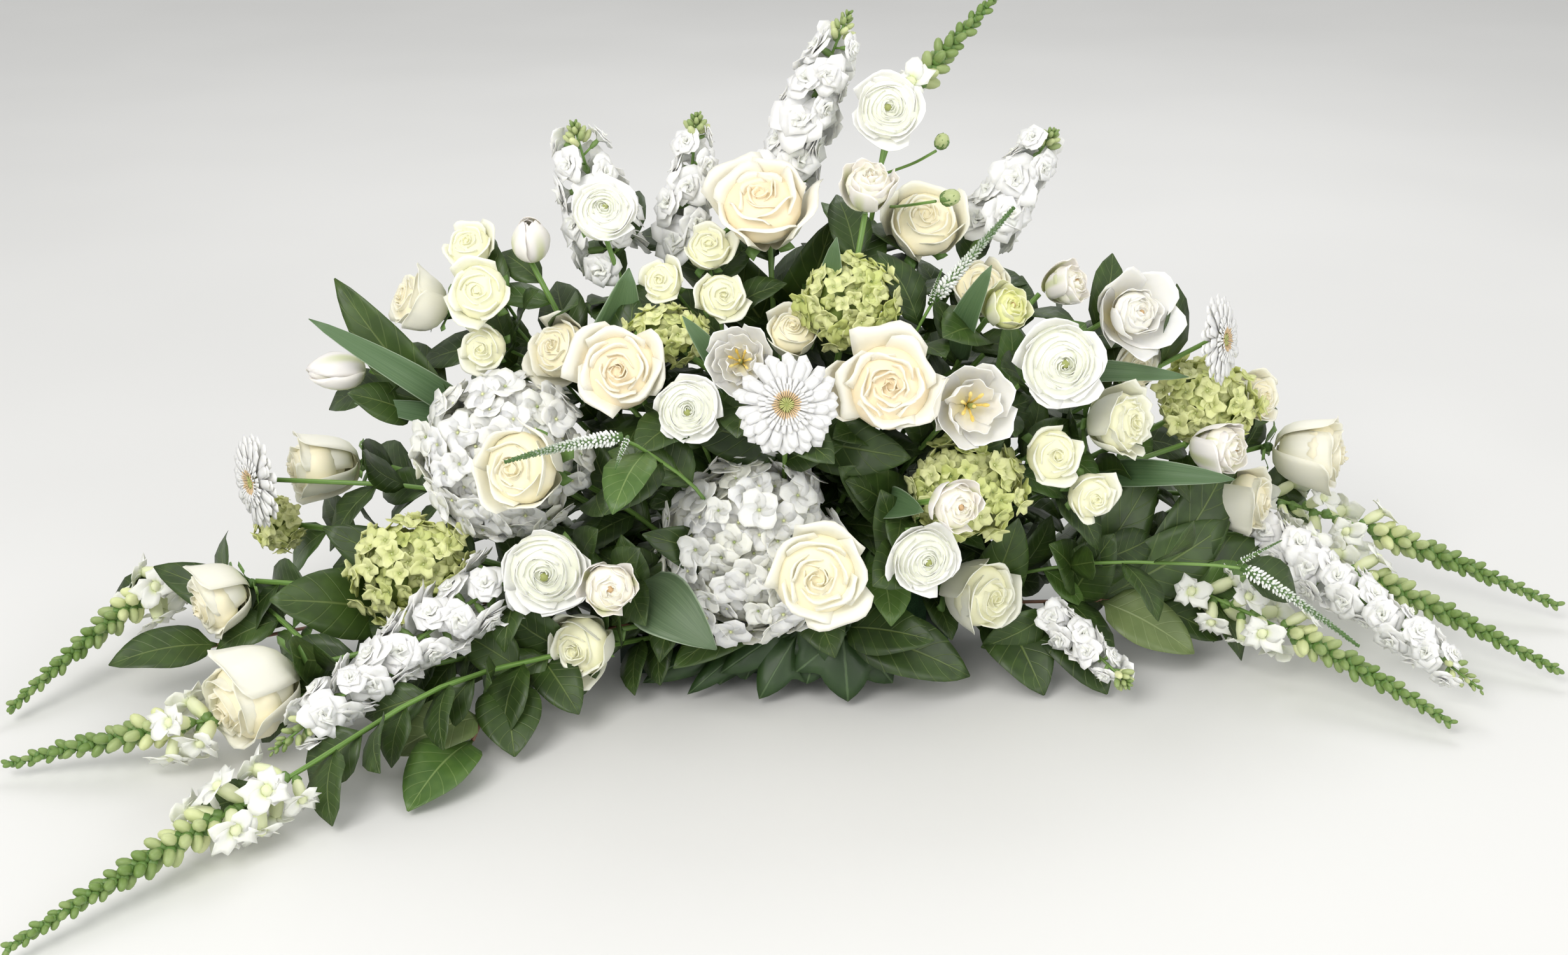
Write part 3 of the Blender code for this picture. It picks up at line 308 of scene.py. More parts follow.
def bud_paint(name, young, ripe):
    """From young where the tone map says 0 to ripe where it says 1."""
    paint = Paint(name, 0.5, 0.15)
    across, along = paint.sheet("petal")
    layer, chance = paint.sheet("tone")
    lines = paint.grain(across * BUD_STREAKS, along * 1.0)
    colour = paint.mix((layer + (lines - 0.5) * 0.25 + (chance - 0.5) * 0.2).between(0.0, 1.0), young, ripe)
    return paint.finish(colour, lines, 0.3, 0.4 * MM)


STUFFS.update({
    "leaf": leaf_paint("broad_leaf", (0.018, 0.040, 0.006), (0.048, 0.096, 0.014), (0.16, 0.22, 0.06)),
    "leaf_light": leaf_paint("young_leaf", (0.050, 0.115, 0.018), (0.100, 0.185, 0.035), (0.26, 0.36, 0.12)),
    "leaf_olive": leaf_paint("olive_leaf", (0.110, 0.160, 0.050), (0.160, 0.215, 0.075), (0.30, 0.37, 0.16)),
    "strap": strap_paint("strap_leaf", (0.060, 0.125, 0.048), (0.125, 0.210, 0.095)),
    "sage": strap_paint("sage_leaf", (0.055, 0.100, 0.045), (0.110, 0.170, 0.085)),
    "stem": stem_paint("green_stem", (0.110, 0.235, 0.040), (0.235, 0.380, 0.095)),
    "stem_brown": stem_paint("brown_stem", (0.16, 0.07, 0.04), (0.30, 0.15, 0.09)),
    "sepal": bud_paint("sepal", (0.085, 0.190, 0.035), (0.26, 0.38, 0.12)),
    "bud": bud_paint("bud", (0.150, 0.250, 0.055), (0.74, 0.78, 0.42)),
    "bead": bud_paint("veronica_bead", (0.075, 0.170, 0.040), (0.90, 0.92, 0.89)),
    "stamen": bud_paint("stamen", (0.80, 0.55, 0.10), (0.90, 0.74, 0.28)),
    "eye": bud_paint("eye", (0.22, 0.26, 0.06), (0.52, 0.55, 0.20)),
    "tan": bud_paint("tan_disc", (0.45, 0.26, 0.10), (0.72, 0.52, 0.30)),
})
print("all paints:", len(STUFFS))

# %% [markdown]
# ## Sheets, tubes and how they are gathered
#
# The grid primitive gives a flat sheet of points. `across` runs from -1 to 1 over it and `along` from 0 to 1, and
# every petal and leaf is that sheet, moved by a rule. A stem is a ring of points, carried along a curve, and buds
# are spheres that are stretched. All patches of one plant are gathered first, and made into one mesh at the end,
# because that is far quicker than joining a thousand objects.

# %% Sheets
class Sheet:
    """A flat grid: its points across and along, its faces and its map."""

    def __init__(self, columns, rows):
        bpy.ops.object.select_all(action="DESELECT")
        bpy.ops.mesh.primitive_grid_add(x_subdivisions=columns, y_subdivisions=rows, size=2)
        grid = bpy.context.object
        points = np.array([v.co[:] for v in grid.data.vertices])
        self.across, self.along = points[:, 0], (points[:, 1] + 1) / 2
        self.faces = [np.array([p.vertices[:] for p in grid.data.polygons])]
        self.map = np.stack([(self.across + 1) / 2, self.along], 1)
        bpy.data.objects.remove(grid)


BROAD, MEDIUM, SMALL, TINY = Sheet(8, 9), Sheet(6, 7), Sheet(4, 4), Sheet(3, 3)
RAY, STRIP, BLADE, LIGHT_BLADE, FAN = Sheet(2, 6), Sheet(2, 4), Sheet(6, 12), Sheet(4, 6), Sheet(40, 5)
print("points of a broad petal:", len(BROAD.across), "and of a leaf:", len(BLADE.across))


def ball(segments, rings):
    """A closed round body of radius 1 with its poles on Z, from the sphere primitive."""
    bpy.ops.object.select_all(action="DESELECT")
    bpy.ops.mesh.primitive_uv_sphere_add(segments=segments, ring_count=rings, radius=1)
    sphere = bpy.context.object
    points = np.array([v.co[:] for v in sphere.data.vertices])
    faces = [
        np.array([p.vertices[:] for p in sphere.data.polygons if len(p.vertices) == count]) for count in (3, 4)
    ]
    bpy.data.objects.remove(sphere)
    around = np.arctan2(points[:, 1], points[:, 0]) / (2 * math.pi) + 0.5
    return points, faces, np.stack([around, (points[:, 2] + 1) / 2], 1)


ROUND, BALL, SMALL_BALL = ball(16, 10), ball(8, 6), ball(6, 4)
EGG_TAPER = 1 - 0.42 * BALL[0][:, 2:]
EGG = (BALL[0] * np.hstack([EGG_TAPER, EGG_TAPER, np.ones_like(EGG_TAPER)]), *BALL[1:])

# %% Gathering patches
PETAL_THICKNESS = 0.35 * MM


class Growth:
    """The patches of one plant. Thin ones are single sheets, which get their thickness at the end."""

    def __init__(self):
        self.patches = []

    def add(self, stuff, points, faces, places, tone=(0.5, 0.5), thin=True):
        self.patches.append((stuff, points, faces, places, np.broadcast_to(tone, (len(points), 2)), thin))

    def put(self, other, turn, origin, size=1.0, tone=None):
        """A copy of another growth, turned, sized and moved."""
        for stuff, points, faces, places, own, thin in other.patches:
            self.add(stuff, points * size @ turn.T + origin, faces, places, own if tone is None else tone, thin)


def mesh_of(name, patches):
    """One object from patches, with both maps."""
    mesh = bpy.data.meshes.new(name)
    stuffs = sorted({p[0] for p in patches})
    starts = np.cumsum([0] + [len(p[1]) for p in patches])
    points = np.concatenate([p[1] for p in patches])
    corners, counts, slots = [], [], []
    for (stuff, _, faces, _, _, _), start in zip(patches, starts):
        for group in faces:
            if len(group):
                corners.append((group + start).ravel())
                counts.append(np.full(len(group), group.shape[1]))
                slots.append(np.full(len(group), stuffs.index(stuff)))
    corners, counts, slots = np.concatenate(corners), np.concatenate(counts), np.concatenate(slots)
    mesh.vertices.add(len(points))
    mesh.vertices.foreach_set("co", points.ravel())
    mesh.loops.add(len(corners))
    mesh.loops.foreach_set("vertex_index", corners)
    mesh.polygons.add(len(counts))
    mesh.polygons.foreach_set("loop_start", np.cumsum(counts) - counts)
    mesh.polygons.foreach_set("material_index", slots)
    mesh.update(calc_edges=True)
    for layer, column in (("petal", 3), ("tone", 4)):
        values = np.concatenate([p[column] for p in patches])[corners]
        mesh.uv_layers.new(name=layer).data.foreach_set("uv", values.ravel().astype(np.float32))
    mesh.shade_smooth()
    for stuff in stuffs:
        mesh.materials.append(STUFFS[stuff])
    made = bpy.data.objects.new(name, mesh)
    bpy.context.scene.collection.objects.link(made)
    return made


def make_piece(name, growth, node):
    """Makes the plant that stands for a solid: sheets get a thickness, then all is joined."""
    made = []
    for thin in (True, False):
        patches = [p for p in growth.patches if p[5] == thin]
        if patches:
            made.append(mesh_of(name, patches))
            if thin:
                bpy.ops.object.select_all(action="DESELECT")
                bpy.context.view_layer.objects.active = made[0]
                made[0].select_set(True)
                bpy.ops.object.modifier_add(type="SOLIDIFY")
                solidify = made[0].modifiers[-1]
                solidify.thickness, solidify.offset = PETAL_THICKNESS, 0
                bpy.ops.object.modifier_apply(modifier=solidify.name)
    bpy.ops.object.select_all(action="DESELECT")
    for piece in made:
        piece.select_set(True)
    bpy.context.view_layer.objects.active = made[0]
    if len(made) > 1:
        bpy.ops.object.join()
    piece = bpy.context.view_layer.objects.active
    piece.name = name
    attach(piece, "root")
    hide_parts(node)
    return sum(len(p.vertices) - 2 for p in piece.data.polygons)


# %% [markdown]
# ## Directions and curves
#
# A bloom faces one way: a turn to the side and a lift above level. `turned` gives the three axes of that way, and
# a Bezier curve carries each stem from its cut end in the foam to the neck of its bloom.

# %% Directions
def facing(turn, lift):
    """The way that a bloom faces. A turn of 0 degrees is to the front and 90 to the right."""
    a, e = math.radians(turn), math.radians(lift)
    return np.array((math.sin(a) * math.cos(e), -math.cos(a) * math.cos(e), math.sin(e)))


def turned(way):
    """Three axes as columns, the third along way and the first level."""
    z = np.asarray(way) / np.linalg.norm(way)
    side = np.cross((0, 0, 1), z)
    length = np.linalg.norm(side)
    x = side / length if length > 1e-6 else np.array((1.0, 0, 0))
    return np.stack([x, np.cross(z, x), z], 1)


def spun(angle):
    """A turn about Z."""
    c, s = math.cos(angle), math.sin(angle)
    return np.array(((c, -s, 0), (s, c, 0), (0, 0, 1)))


def unit(way):
    return np.asarray(way) / np.linalg.norm(way)


def bezier(controls, shares):
    """Points at these shares along one Bezier curve."""
    level = [np.asarray(c, float)[None, :] for c in controls]
    shares = np.asarray(shares, float)[:, None]
    while len(level) > 1:
        level = [a * (1 - shares) + b * shares for a, b in zip(level, level[1:])]
    return level[0]


def along_path(path, share):
    """The place at a share of a path and the way on from there. Past 1 it goes straight on."""
    at = max(share, 0) * (len(path) - 1)
    i = min(int(at), len(path) - 2)
    step = path[i + 1] - path[i]
    return path[i] + step * (at - i), unit(step)


def tube(growth, path, radii, stuff="stem", sides=8):
    """A stem along a path, closed by its two ends."""
    path, radii = np.asarray(path), np.broadcast_to(radii, (len(path),))
    ways = np.gradient(path, axis=0)
    side = turned(ways[0])[:, 0]
    angles = np.arange(sides) * 2 * math.pi / sides
    rings = []
    for point, way, radius in zip(path, ways, radii):
        way = unit(way)
        side = unit(side - way * side.dot(way))
        across = np.cross(way, side)
        rings.append(point + radius * (np.outer(np.cos(angles), side) + np.outer(np.sin(angles), across)))
    points = np.concatenate(rings + [path[:1], path[-1:]])
    k = np.arange(sides)
    quads = [np.stack([k, (k + 1) % sides, (k + 1) % sides + sides, k + sides], 1) + row * sides
             for row in range(len(path) - 1)]
    foot, top = len(points) - 2, len(points) - 1
    last = (len(path) - 1) * sides
    ends = [np.stack([np.full(sides, foot), (k + 1) % sides, k], 1),
            np.stack([np.full(sides, top), last + k, last + (k + 1) % sides], 1)]
    rows = np.repeat(np.linspace(0, 1, len(path)), sides)
    places = np.concatenate([np.stack([np.tile(k / sides, len(path)), rows], 1), ((0.5, 0.0), (0.5, 1.0))])
    growth.add(stuff, points, [np.concatenate(quads), np.concatenate(ends)], places, (0.3, 0.5), thin=False)


def lump(growth, stuff, turn, origin, size, tone=(0.5, 0.5), body=BALL):
    """A round body, stretched by size along its own three axes."""
    points, faces, places = body
    growth.add(stuff, points * np.asarray(size) @ turn.T + origin, faces, places, tone, thin=False)


# %% [markdown]
# ## One petal
#
# A petal starts at the heart of the bloom and climbs a curve, which is given as distances out and heights. It is
# wrapped round the bloom's axis by its width. Its corners are cut back to make a round or pointed tip, its sides
# roll back, one side lies outside the next petal's, and its rim waves. These few numbers tell a rose from a tulip.

# %% Petals
CHANCE = np.random.default_rng(12)


def petal(growth, stuff, sheet, controls, width, angle, tone, tip=(0.3, 2.4), roll=0.0, over=0.05, wave=0.02,
          ripples=2.0, waist=0.24, skew=0.0, shift=(0, 0)):
    """A petal of a bloom of radius 1, width wide to each side of its middle. shift moves its rim aside."""
    s, t = sheet.across, sheet.along
    climb = bezier(controls, t * (1 - tip[0] * np.abs(s) ** tip[1]))
    ripple = np.sin(ripples * math.pi * s + CHANCE.uniform(0, 2 * math.pi))
    rolled = roll * np.abs(s) ** 3 * t**2
    out = climb[:, 0] + rolled + over * s * (0.3 + 0.7 * t) + wave * ripple * t**2
    up = climb[:, 1] - 0.5 * rolled + 0.6 * wave * ripple * t**3 + skew * s * t
    half = width * (waist + (1 - waist) * np.sin(np.minimum(t / 0.62, 1) * math.pi / 2))
    round_by = angle + s * half / (np.abs(out) + 0.1)
    points = np.stack([out * np.cos(round_by) + shift[0] * t, out * np.sin(round_by) + shift[1] * t, up], 1)
    growth.add(stuff, points, sheet.faces, sheet.map, tone)


def whorl(growth, stuff, sheet, count, controls, layer, spread=1.5, start=0.0, loose=0.04, **shape):
    """A ring of petals, each spread times as wide as its share of the ring."""
    widest = bezier(controls, np.linspace(0, 1, 9))[:, 0].max()
    for k in range(count):
        angle = start + 2 * math.pi * (k + CHANCE.uniform(-0.12, 0.12)) / count
        own = np.array(controls) * (1 + CHANCE.uniform(-loose, loose, 2))
        width = spread * math.pi * widest / count * CHANCE.uniform(0.92, 1.08)
        petal(growth, stuff, sheet, own, width, angle, (layer, CHANCE.uniform()), **shape)


# %% [markdown]
# ## Roses
#
# A rose's petals stand a golden turn apart, so no two lie in line. The outer ones are broad and reflexed, and the
# inner ones close in round the heart. One rule makes each petal from its share of the way out: how far it reaches,
# how high its rim is and how far its lip rolls over. Below are the hip and sepals. Ranunculuses and double tulips
# follow the same rule with other numbers.

# %% Roses
GOLDEN = math.radians(137.5)
OPEN_ROSE = {"depth": 0.84, "heart": 0.26, "rim": 0.10, "petals": 20, "openness": 1.0, "crowding": 1.7}
GOBLET_ROSE = {"depth": 1.16, "heart": 0.42, "rim": 0.24, "petals": 19, "openness": 0.3, "foot": 0.86}
SPRAY_ROSE = {"depth": 0.90, "heart": 0.34, "rim": 0.14, "petals": 14, "openness": 0.8, "foot": 0.6}


def sepals(growth, depth):
    controls = [(0.06, -depth), (0.34, -1.02 * depth), (0.56, -0.80 * depth), (0.70, -0.92 * depth)]
    whorl(growth, "sepal", STRIP, 5, controls, 0.3, spread=0.36, tip=(0, 1), waist=0.9, loose=0.12)
    lump(growth, "sepal", np.eye(3), (0, 0, -0.98 * depth), (0.13, 0.13, 0.15), (0.2, 0.5))


def spiral(growth, stuff, petals, depth, heart, rim, height=1.0, reach=0.90, lip=0.15, closing=0.30, wrap=(1.5, 0.8),
           tips=(0.05, 0.20), roll=0.10, wave=0.03, ripples=1.5, crowding=1.5, openness=0.5, fill=(0.85, 0.13),
           skew=0.06, foot=0.55):
    """Petals a golden turn apart from the heart out, over a rounded body that closes the gaps between them.

    wrap is how far round the first and the last one goes, openness how flat the last one lies, foot how full its
    foot is, and fill how wide the rounded body is and how far below the heart."""
    drift = CHANCE.uniform(-0.08, 0.08, 2)
    for k in range(petals):
        share = (k + 1) / petals
        flat = openness * share**1.5
        out = reach * (0.07 + 0.93 * share**crowding) * CHANCE.uniform(0.96, 1.04)
        up = heart - (heart - rim) * share**1.5 + CHANCE.uniform(-0.035, 0.035)
        low = (up - 0.5) * (1 - share) - 0.9 * depth * share
        bend, lean = lip * (0.35 + 0.65 * share) * CHANCE.uniform(0.7, 1.2), closing * (1 - share) ** 1.5 * out
        controls = [
            (0.04, low), (0.10 + foot * share, low),
            (out * (1 - 0.28 * flat) + 0.05, 0.5 * low * (1 - 0.7 * flat) + 0.35 * up),
            (out - lean, up + 0.05 + 0.03 * flat), (out - lean + bend, up - 0.3 * bend),
        ]
        controls = [(a, b * height) for a, b in controls]
        half = (wrap[0] + (wrap[1] - wrap[0]) * share) * (out + 0.1)
        tip = (tips[0] + (tips[1] - tips[0]) * share, 2.4)
        shift = drift * (1 - share) + CHANCE.uniform(-0.035, 0.035, 2)
        petal(
            growth, stuff, BROAD if share > 0.45 else MEDIUM, controls, half,
            GOLDEN * k + CHANCE.uniform(-0.25, 0.25), (share, CHANCE.uniform()), tip=tip, roll=roll * share,
            over=0.05 * share + 0.02, wave=wave * (0.3 + share), ripples=ripples, waist=0.5,
            skew=CHANCE.uniform(-skew, skew) * (1.6 - share), shift=shift,
        )
    wide = fill[0] * reach
    centre = (*(drift / 2), (heart - fill[1] - 0.45) * height)
    lump(growth, stuff, np.eye(3), centre, (wide, wide, 0.45 * height), (0.1, 0.5), ROUND)


def rose(stuff="rose", height=1.0, stray=(), **shape):
    """A rose, with stray petals that have fallen open at these angles."""
    bloom = Growth()
    spiral(bloom, stuff, height=height, **shape)
    for angle in stray:
        controls = [(0.10, -0.8), (0.75, -0.85), (1.05, -0.25), (1.02, 0.20), (1.34, 0.34)]
        petal(bloom, stuff, BROAD, controls, 0.62, angle, (1.0, CHANCE.uniform()), tip=(0.24, 1.8), roll=-0.12,
              over=0.02, wave=0.03)
    sepals(bloom, shape["depth"] * height)
    return bloom


def ranunculus():
    """Paper-thin petals in a low dome round a green eye. The outer ones are loose and broad."""
    bloom = Growth()
    spiral(bloom, "ranunculus", 26, 0.62, 0.36, 0.10, reach=0.98, lip=-0.01, closing=0.35, wrap=(1.5, 0.95),
           tips=(0.06, 0.14), roll=0.02, wave=0.03, ripples=1.5, crowding=1.35, openness=0.95, fill=(0.8, 0.10),
           skew=0.03)
    lump(bloom, "eye", np.eye(3), (0, 0, 0.31), (0.10, 0.10, 0.09), (0.4, 0.5))
    sepals(bloom, 0.66)
    return bloom


# %% [markdown]
# ## Tulips, gerberas and small buds
#
# A closed tulip has three petals outside and three inside, which meet at the top. An open one shows its golden
# stamens, and a double one is a spiral, like a rose. A gerbera has flat rings of blunt rays, then short rays, a
# fluffy ring, a tan ring and a green eye, each made by the same petal rule on a narrow sheet.

# %% Tulips
def tulip(height):
    """A closed tulip with three pointed petals outside and three inside."""
    bloom = Growth()
    for number in range(3):
        share = 1 - number / 6
        controls = [
            (0.12, -1.18 * height), (0.96 * share, -1.22 * height), (1.22 * share, -0.30 * height),
            (1.04 * share, 0.60 * height), (0.26 * share, (1.12 - 0.05 * number) * height),
        ]
        whorl(bloom, "tulip", BROAD, 3, controls, share, 1.22, number * math.pi / 3, tip=(0.36, 1.5), over=0.10,
              wave=0.03, roll=0.04, loose=0.05)
    return bloom


def double_tulip(stuff, height, closing=0.30):
    """A round tulip of many pointed petals, with a brown heart."""
    bloom = Growth()
    spiral(bloom, stuff, 16, 1.06, 0.66, 0.44, height, reach=0.96, lip=-0.04, closing=closing, wrap=(0.9, 0.78),
           tips=(0.30, 0.26), roll=0.02, wave=0.05, ripples=1.8, crowding=0.95, openness=0.15, fill=(0.80, 0.17),
           skew=0.08)
    lump(bloom, "tan", np.eye(3), (0, 0, 0.46 * height), (0.12, 0.12, 0.10), (0.5, 0.5))
    return bloom


def flared_tulip():
    """A double tulip whose outer petals have fallen wide open."""
    bloom = Growth()
    controls = [(0.10, -0.80), (0.60, -0.85), (0.84, -0.35), (0.92, 0.20), (1.14, 0.50)]
    whorl(bloom, "tulip_open", BROAD, 5, controls, 1.0, 1.2, 0.4, tip=(0.32, 1.7), over=0.08, wave=0.05, roll=0.06)
    bloom.put(double_tulip("tulip_open", 1.15), np.eye(3), (0, 0, -0.05), 0.66)
    return bloom


def open_tulip(rings):
    """A cup of pointed petals round seven stamens."""
    bloom = Growth()
    for number in range(rings):
        share = 1 - number / (rings + 0.8)
        controls = [
            (0.08, -0.62 + 0.12 * number), (0.80 * share, -0.66 + 0.12 * number), (1.04 * share, -0.16),
            (0.98 * share, 0.22), (1.06 * share - 0.06 * number, 0.42 - 0.02 * number),
        ]
        whorl(bloom, "tulip_open", BROAD, 5, controls, share, 1.28, number * 0.7, tip=(0.34, 1.7), over=0.08,
              wave=0.05, roll=0.03, loose=0.08)
    for k in range(7):
        angle = 0.9 * k
        lean = (0.30 if k else 0) * np.array((math.cos(angle), math.sin(angle), 0))
        path = bezier([(0, 0, -0.5), lean * 0.3 + (0, 0, -0.2), lean + (0, 0, 0.12)], (0, 0.5, 1))
        tube(bloom, path, 0.03 if k else 0.07, "eye" if k == 0 else "stamen", 5)
        way = turned((lean[0], lean[1], 0.4))
        lump(bloom, "stamen", way, path[-1], (0.05, 0.05, 0.12), (CHANCE.uniform(), 0.5))
    return bloom


def gerbera():
    """Rings of rays: how many, where they start and end, how high each end is, and half their width."""
    bloom = Growth()
    rows = (
        ("gerbera", 18, 0.20, 1.00, -0.06, -0.04, 0.125), ("gerbera", 17, 0.20, 0.95, 0.00, 0.03, 0.120),
        ("gerbera", 14, 0.20, 0.86, 0.03, 0.07, 0.110), ("gerbera", 26, 0.18, 0.54, 0.07, 0.13, 0.050),
        ("gerbera", 34, 0.18, 0.39, 0.08, 0.17, 0.024), ("tan", 32, 0.12, 0.28, 0.07, 0.15, 0.020),
        ("eye", 18, 0.02, 0.14, 0.06, 0.11, 0.022),
    )
    for number, (stuff, count, near, far, low, high, half) in enumerate(rows):
        for k in range(count):
            angle = 2 * math.pi * (k + CHANCE.uniform(-0.16, 0.16)) / count + number
            reach, lift = far * CHANCE.uniform(0.93, 1.03), CHANCE.uniform(-0.03, 0.03)
            controls = [(near, low), ((near + reach) / 2, high + 0.05), (reach, high + lift)]
            petal(bloom, stuff, RAY, controls, half, angle, (0.9, CHANCE.uniform()), tip=(0.14, 2.0),
                  over=0.01, wave=0.0, waist=0.55, roll=0.03)
    lump(bloom, "eye", np.eye(3), (0, 0, 0.03), (0.20, 0.20, 0.06), (0.3, 0.5))
    for reach, low in ((0.34, -0.10), (0.26, -0.16)):
        controls = [(0.08, low - 0.08), (0.26, low - 0.06), (reach, low + 0.08)]
        whorl(bloom, "sepal", STRIP, 14, controls, 0.4, spread=0.9, tip=(0, 1), waist=0.8)
    return bloom


def small_bud():
    bloom = Growth()
    lump(bloom, "bud", np.eye(3), (0, 0, 0), (0.95, 0.95, 1.15), (0.5, 0.5))
    controls = [(0.1, -1.2), (1.1, -1.0), (1.05, 0.0), (0.6, 0.9)]
    whorl(bloom, "sepal", STRIP, 5, controls, 0.4, spread=1.0, tip=(0.2, 1.5))
    return bloom


# %% [markdown]
# ## Florets for heads and spikes
#
# A hydrangea head is over a hundred florets of four round petals each. A stock's floret is double and ruffled, a
# snapdragon's has two lips on a tube. Each is modelled once in a few variants, and copied all over its head or
# along its stem, with its own tone.

# %% Florets
def hydrangea_floret(stuff, sheet, cup, spread, tip):
    """Four round petals. cup is how far they rise."""
    bloom = Growth()
    controls = [(0.02, 0.0), (0.30, 0.02 * cup), (0.70, 0.16 * cup), (1.0, 0.20 * cup)]
    whorl(bloom, stuff, sheet, 4, controls, 0.9, spread=spread, tip=tip, over=0.03, wave=0.04, waist=0.16)
    lump(bloom, "bud", np.eye(3), (0, 0, 0.04), (0.08, 0.08, 0.08), (0.8, 0.5), SMALL_BALL)
    return bloom


def stock_floret():
    """A ruffled double floret: two loose rings of broad petals and a few that stand up in the middle."""
    bloom = Growth()
    for number, (count, reach, rise) in enumerate(((5, 1.0, 0.0), (3, 0.72, 0.20), (3, 0.34, 0.30))):
        controls = [(0.04, -0.30), (0.2 * reach, 0.2 * rise), (0.62 * reach, rise + 0.14), (reach, rise)]
        whorl(bloom, "stock", SMALL if number == 0 else TINY, count, controls, reach, 1.3, number * 0.8,
              loose=0.2, tip=(0.16, 2.6), over=0.08, wave=0.10, ripples=1.1, waist=0.16,
              skew=CHANCE.uniform(-0.15, 0.15))
    lump(bloom, "sepal", np.eye(3), (0, 0, -0.5), (0.17, 0.17, 0.42), (0.5, 0.5), SMALL_BALL)
    return bloom


def snapdragon_floret():
    """A tube with two lips. Its mouth faces out and its upper lip stands up, towards +X."""
    bloom = Growth()
    lump(bloom, "snapdragon", np.eye(3), (0, 0, -0.45), (0.34, 0.40, 0.85), (0.3, 0.5))
    upper, lower = ((-0.5, 1.1, 0.4), (0.5, 1.1, 0.4)), ((2.3, 0.95, 0.0), (3.14, 0.9, -0.1), (4.0, 0.95, 0.0))
    for angle, reach, rise in upper + lower:
        controls = [(0.16, 0.0), (0.34, 0.30), (0.62 * reach, 0.30 + rise * 0.5), (reach, 0.1 + rise)]
        petal(bloom, "snapdragon", SMALL, controls, 0.60, angle, (0.9, CHANCE.uniform()), wave=0.14, over=0.08)
    lump(bloom, "sepal", np.eye(3), (0, 0, -1.15), (0.30, 0.30, 0.34), (0.4, 0.5), SMALL_BALL)
    return bloom


WHITE_FLORETS = [
    hydrangea_floret("hydrangea", sheet, cup, 0.95, (0.30, 1.9))
    for sheet, cup in ((SMALL, 0.4), (TINY, 0.9), (SMALL, 1.5))
]
GREEN_FLORETS = [hydrangea_floret("green_hydrangea", TINY, cup, 0.88, (0.4, 1.7)) for cup in (0.8, 1.8, 3.0)]
STOCK_FLORETS = [stock_floret() for _ in range(4)]
SNAPDRAGON_FLORETS = [snapdragon_floret() for _ in range(3)]
print("florets:", len(WHITE_FLORETS + GREEN_FLORETS + STOCK_FLORETS + SNAPDRAGON_FLORETS))

# %% [markdown]
# ## Leaves
#
# Every leaf is one sheet with a stalk, which widens and narrows again, arches along its rib and folds a little
# across it. An ivy leaf is a fan instead: its edge runs out to five points.

# %% Leaves
# Each kind has its paint, how it widens and narrows, how far it arches, and how far it folds.
LEAVES = {
    "leaf": ("leaf", (0.50, 0.80), 0.10, 0.12), "small": ("leaf", (0.50, 0.80), 0.08, 0.12),
    "sage": ("sage", (0.45, 0.95), 0.12, 0.10), "strap": ("strap", (0.30, 0.70), 0.12, 0.25),
    "young": ("leaf_light", (0.50, 0.80), 0.10, 0.14), "olive": ("leaf_olive", (0.50, 0.80), 0.10, 0.16),
}
IVY_POINTS = ((0, 1.0), (52, 0.80), (-52, 0.80), (112, 0.56), (-112, 0.56))
IVY_HALF_TURN, IVY_POINT_TURN = 150, 26


def blade_axes(base, tip, front):
    """A leaf's length, and its ways ahead, up out of its face and across."""
    length = np.linalg.norm(tip - base)
    ahead = (tip - base) / length
    normal = unit(front - ahead * ahead.dot(front))
    return length, ahead, normal, np.cross(normal, ahead)


def blade(growth, base, tip, width, front, kind="leaf", sheet=BLADE):
    stuff, (rise, fall), arch, fold = LEAVES[kind]
    length, ahead, normal, across = blade_axes(base, tip, front)
    s, t = sheet.across, sheet.along
    body = np.clip((t - 0.08) / 0.92, 0, 1)
    peak = rise / (rise + fall)
    wide = body**rise * (1 - body) ** fall / (peak**rise * (1 - peak) ** fall)
    half = 0.5 * width * np.maximum(wide, 0.03)
    wave = 0.05 * width * s * s * np.sin(9 * t + CHANCE.uniform(0, 6)) * wide
    height = arch * length * np.sin(math.pi * t) + fold * half * np.abs(s) + wave
    points = base + np.outer(t * length, ahead) + np.outer(height, normal) + np.outer(s * half, across)
    growth.add(stuff, points, sheet.faces, sheet.map, (0.5, CHANCE.uniform()))


def ivy(growth, base, tip, width, front):
    length, ahead, normal, across = blade_axes(base, tip, front)
    angle = FAN.across * math.radians(IVY_HALF_TURN)
    reach = np.full(len(angle), 0.58)
    for at, most in IVY_POINTS:
        away = np.abs(np.degrees(angle) - at) / IVY_POINT_TURN
        reach = np.maximum(reach, most * (1 - 0.30 * away))
    out = FAN.along * reach
    x, y = out * np.sin(angle) * 0.78 * width, 0.1 * length + out * np.cos(angle) * 0.9 * length
    height = 0.10 * length * (1 - out**2) + 0.03 * length * np.cos(angle * 3)
    points = base + np.outer(y, ahead) + np.outer(x, across) + np.outer(height, normal)
    growth.add("ivy", points, FAN.faces, FAN.map, (0.5, CHANCE.uniform()))


# %% [markdown]
# ## A plant: its stem, its blooms and its leaves
#
# Each stem starts at its own cut end in the foam, and follows the same line as the solid's. The corners of that
# line are rounded, so that the stem bends as a fresh one does and still stands in its hole.

# %% Plants
# Where a stem's cut end lies in the foam: shares of its bloom's own place, and the lowest end.
END_ACROSS, END_BACK, END_UP, END_LOWEST = 0.19, 0.16, 0.07, 3.0 * CM
LOWEST = 1.5 * MM
CORNER = 0.35


def cm(place):
    """A place in metres, from one in centimetres."""
    return np.array(place) * CM


def foam_end(place):
    """The cut end in the foam of the stem that carries a bloom at this place."""
    return np.array((place[0] * END_ACROSS, place[1] * END_BACK, END_LOWEST + place[2] * END_UP))


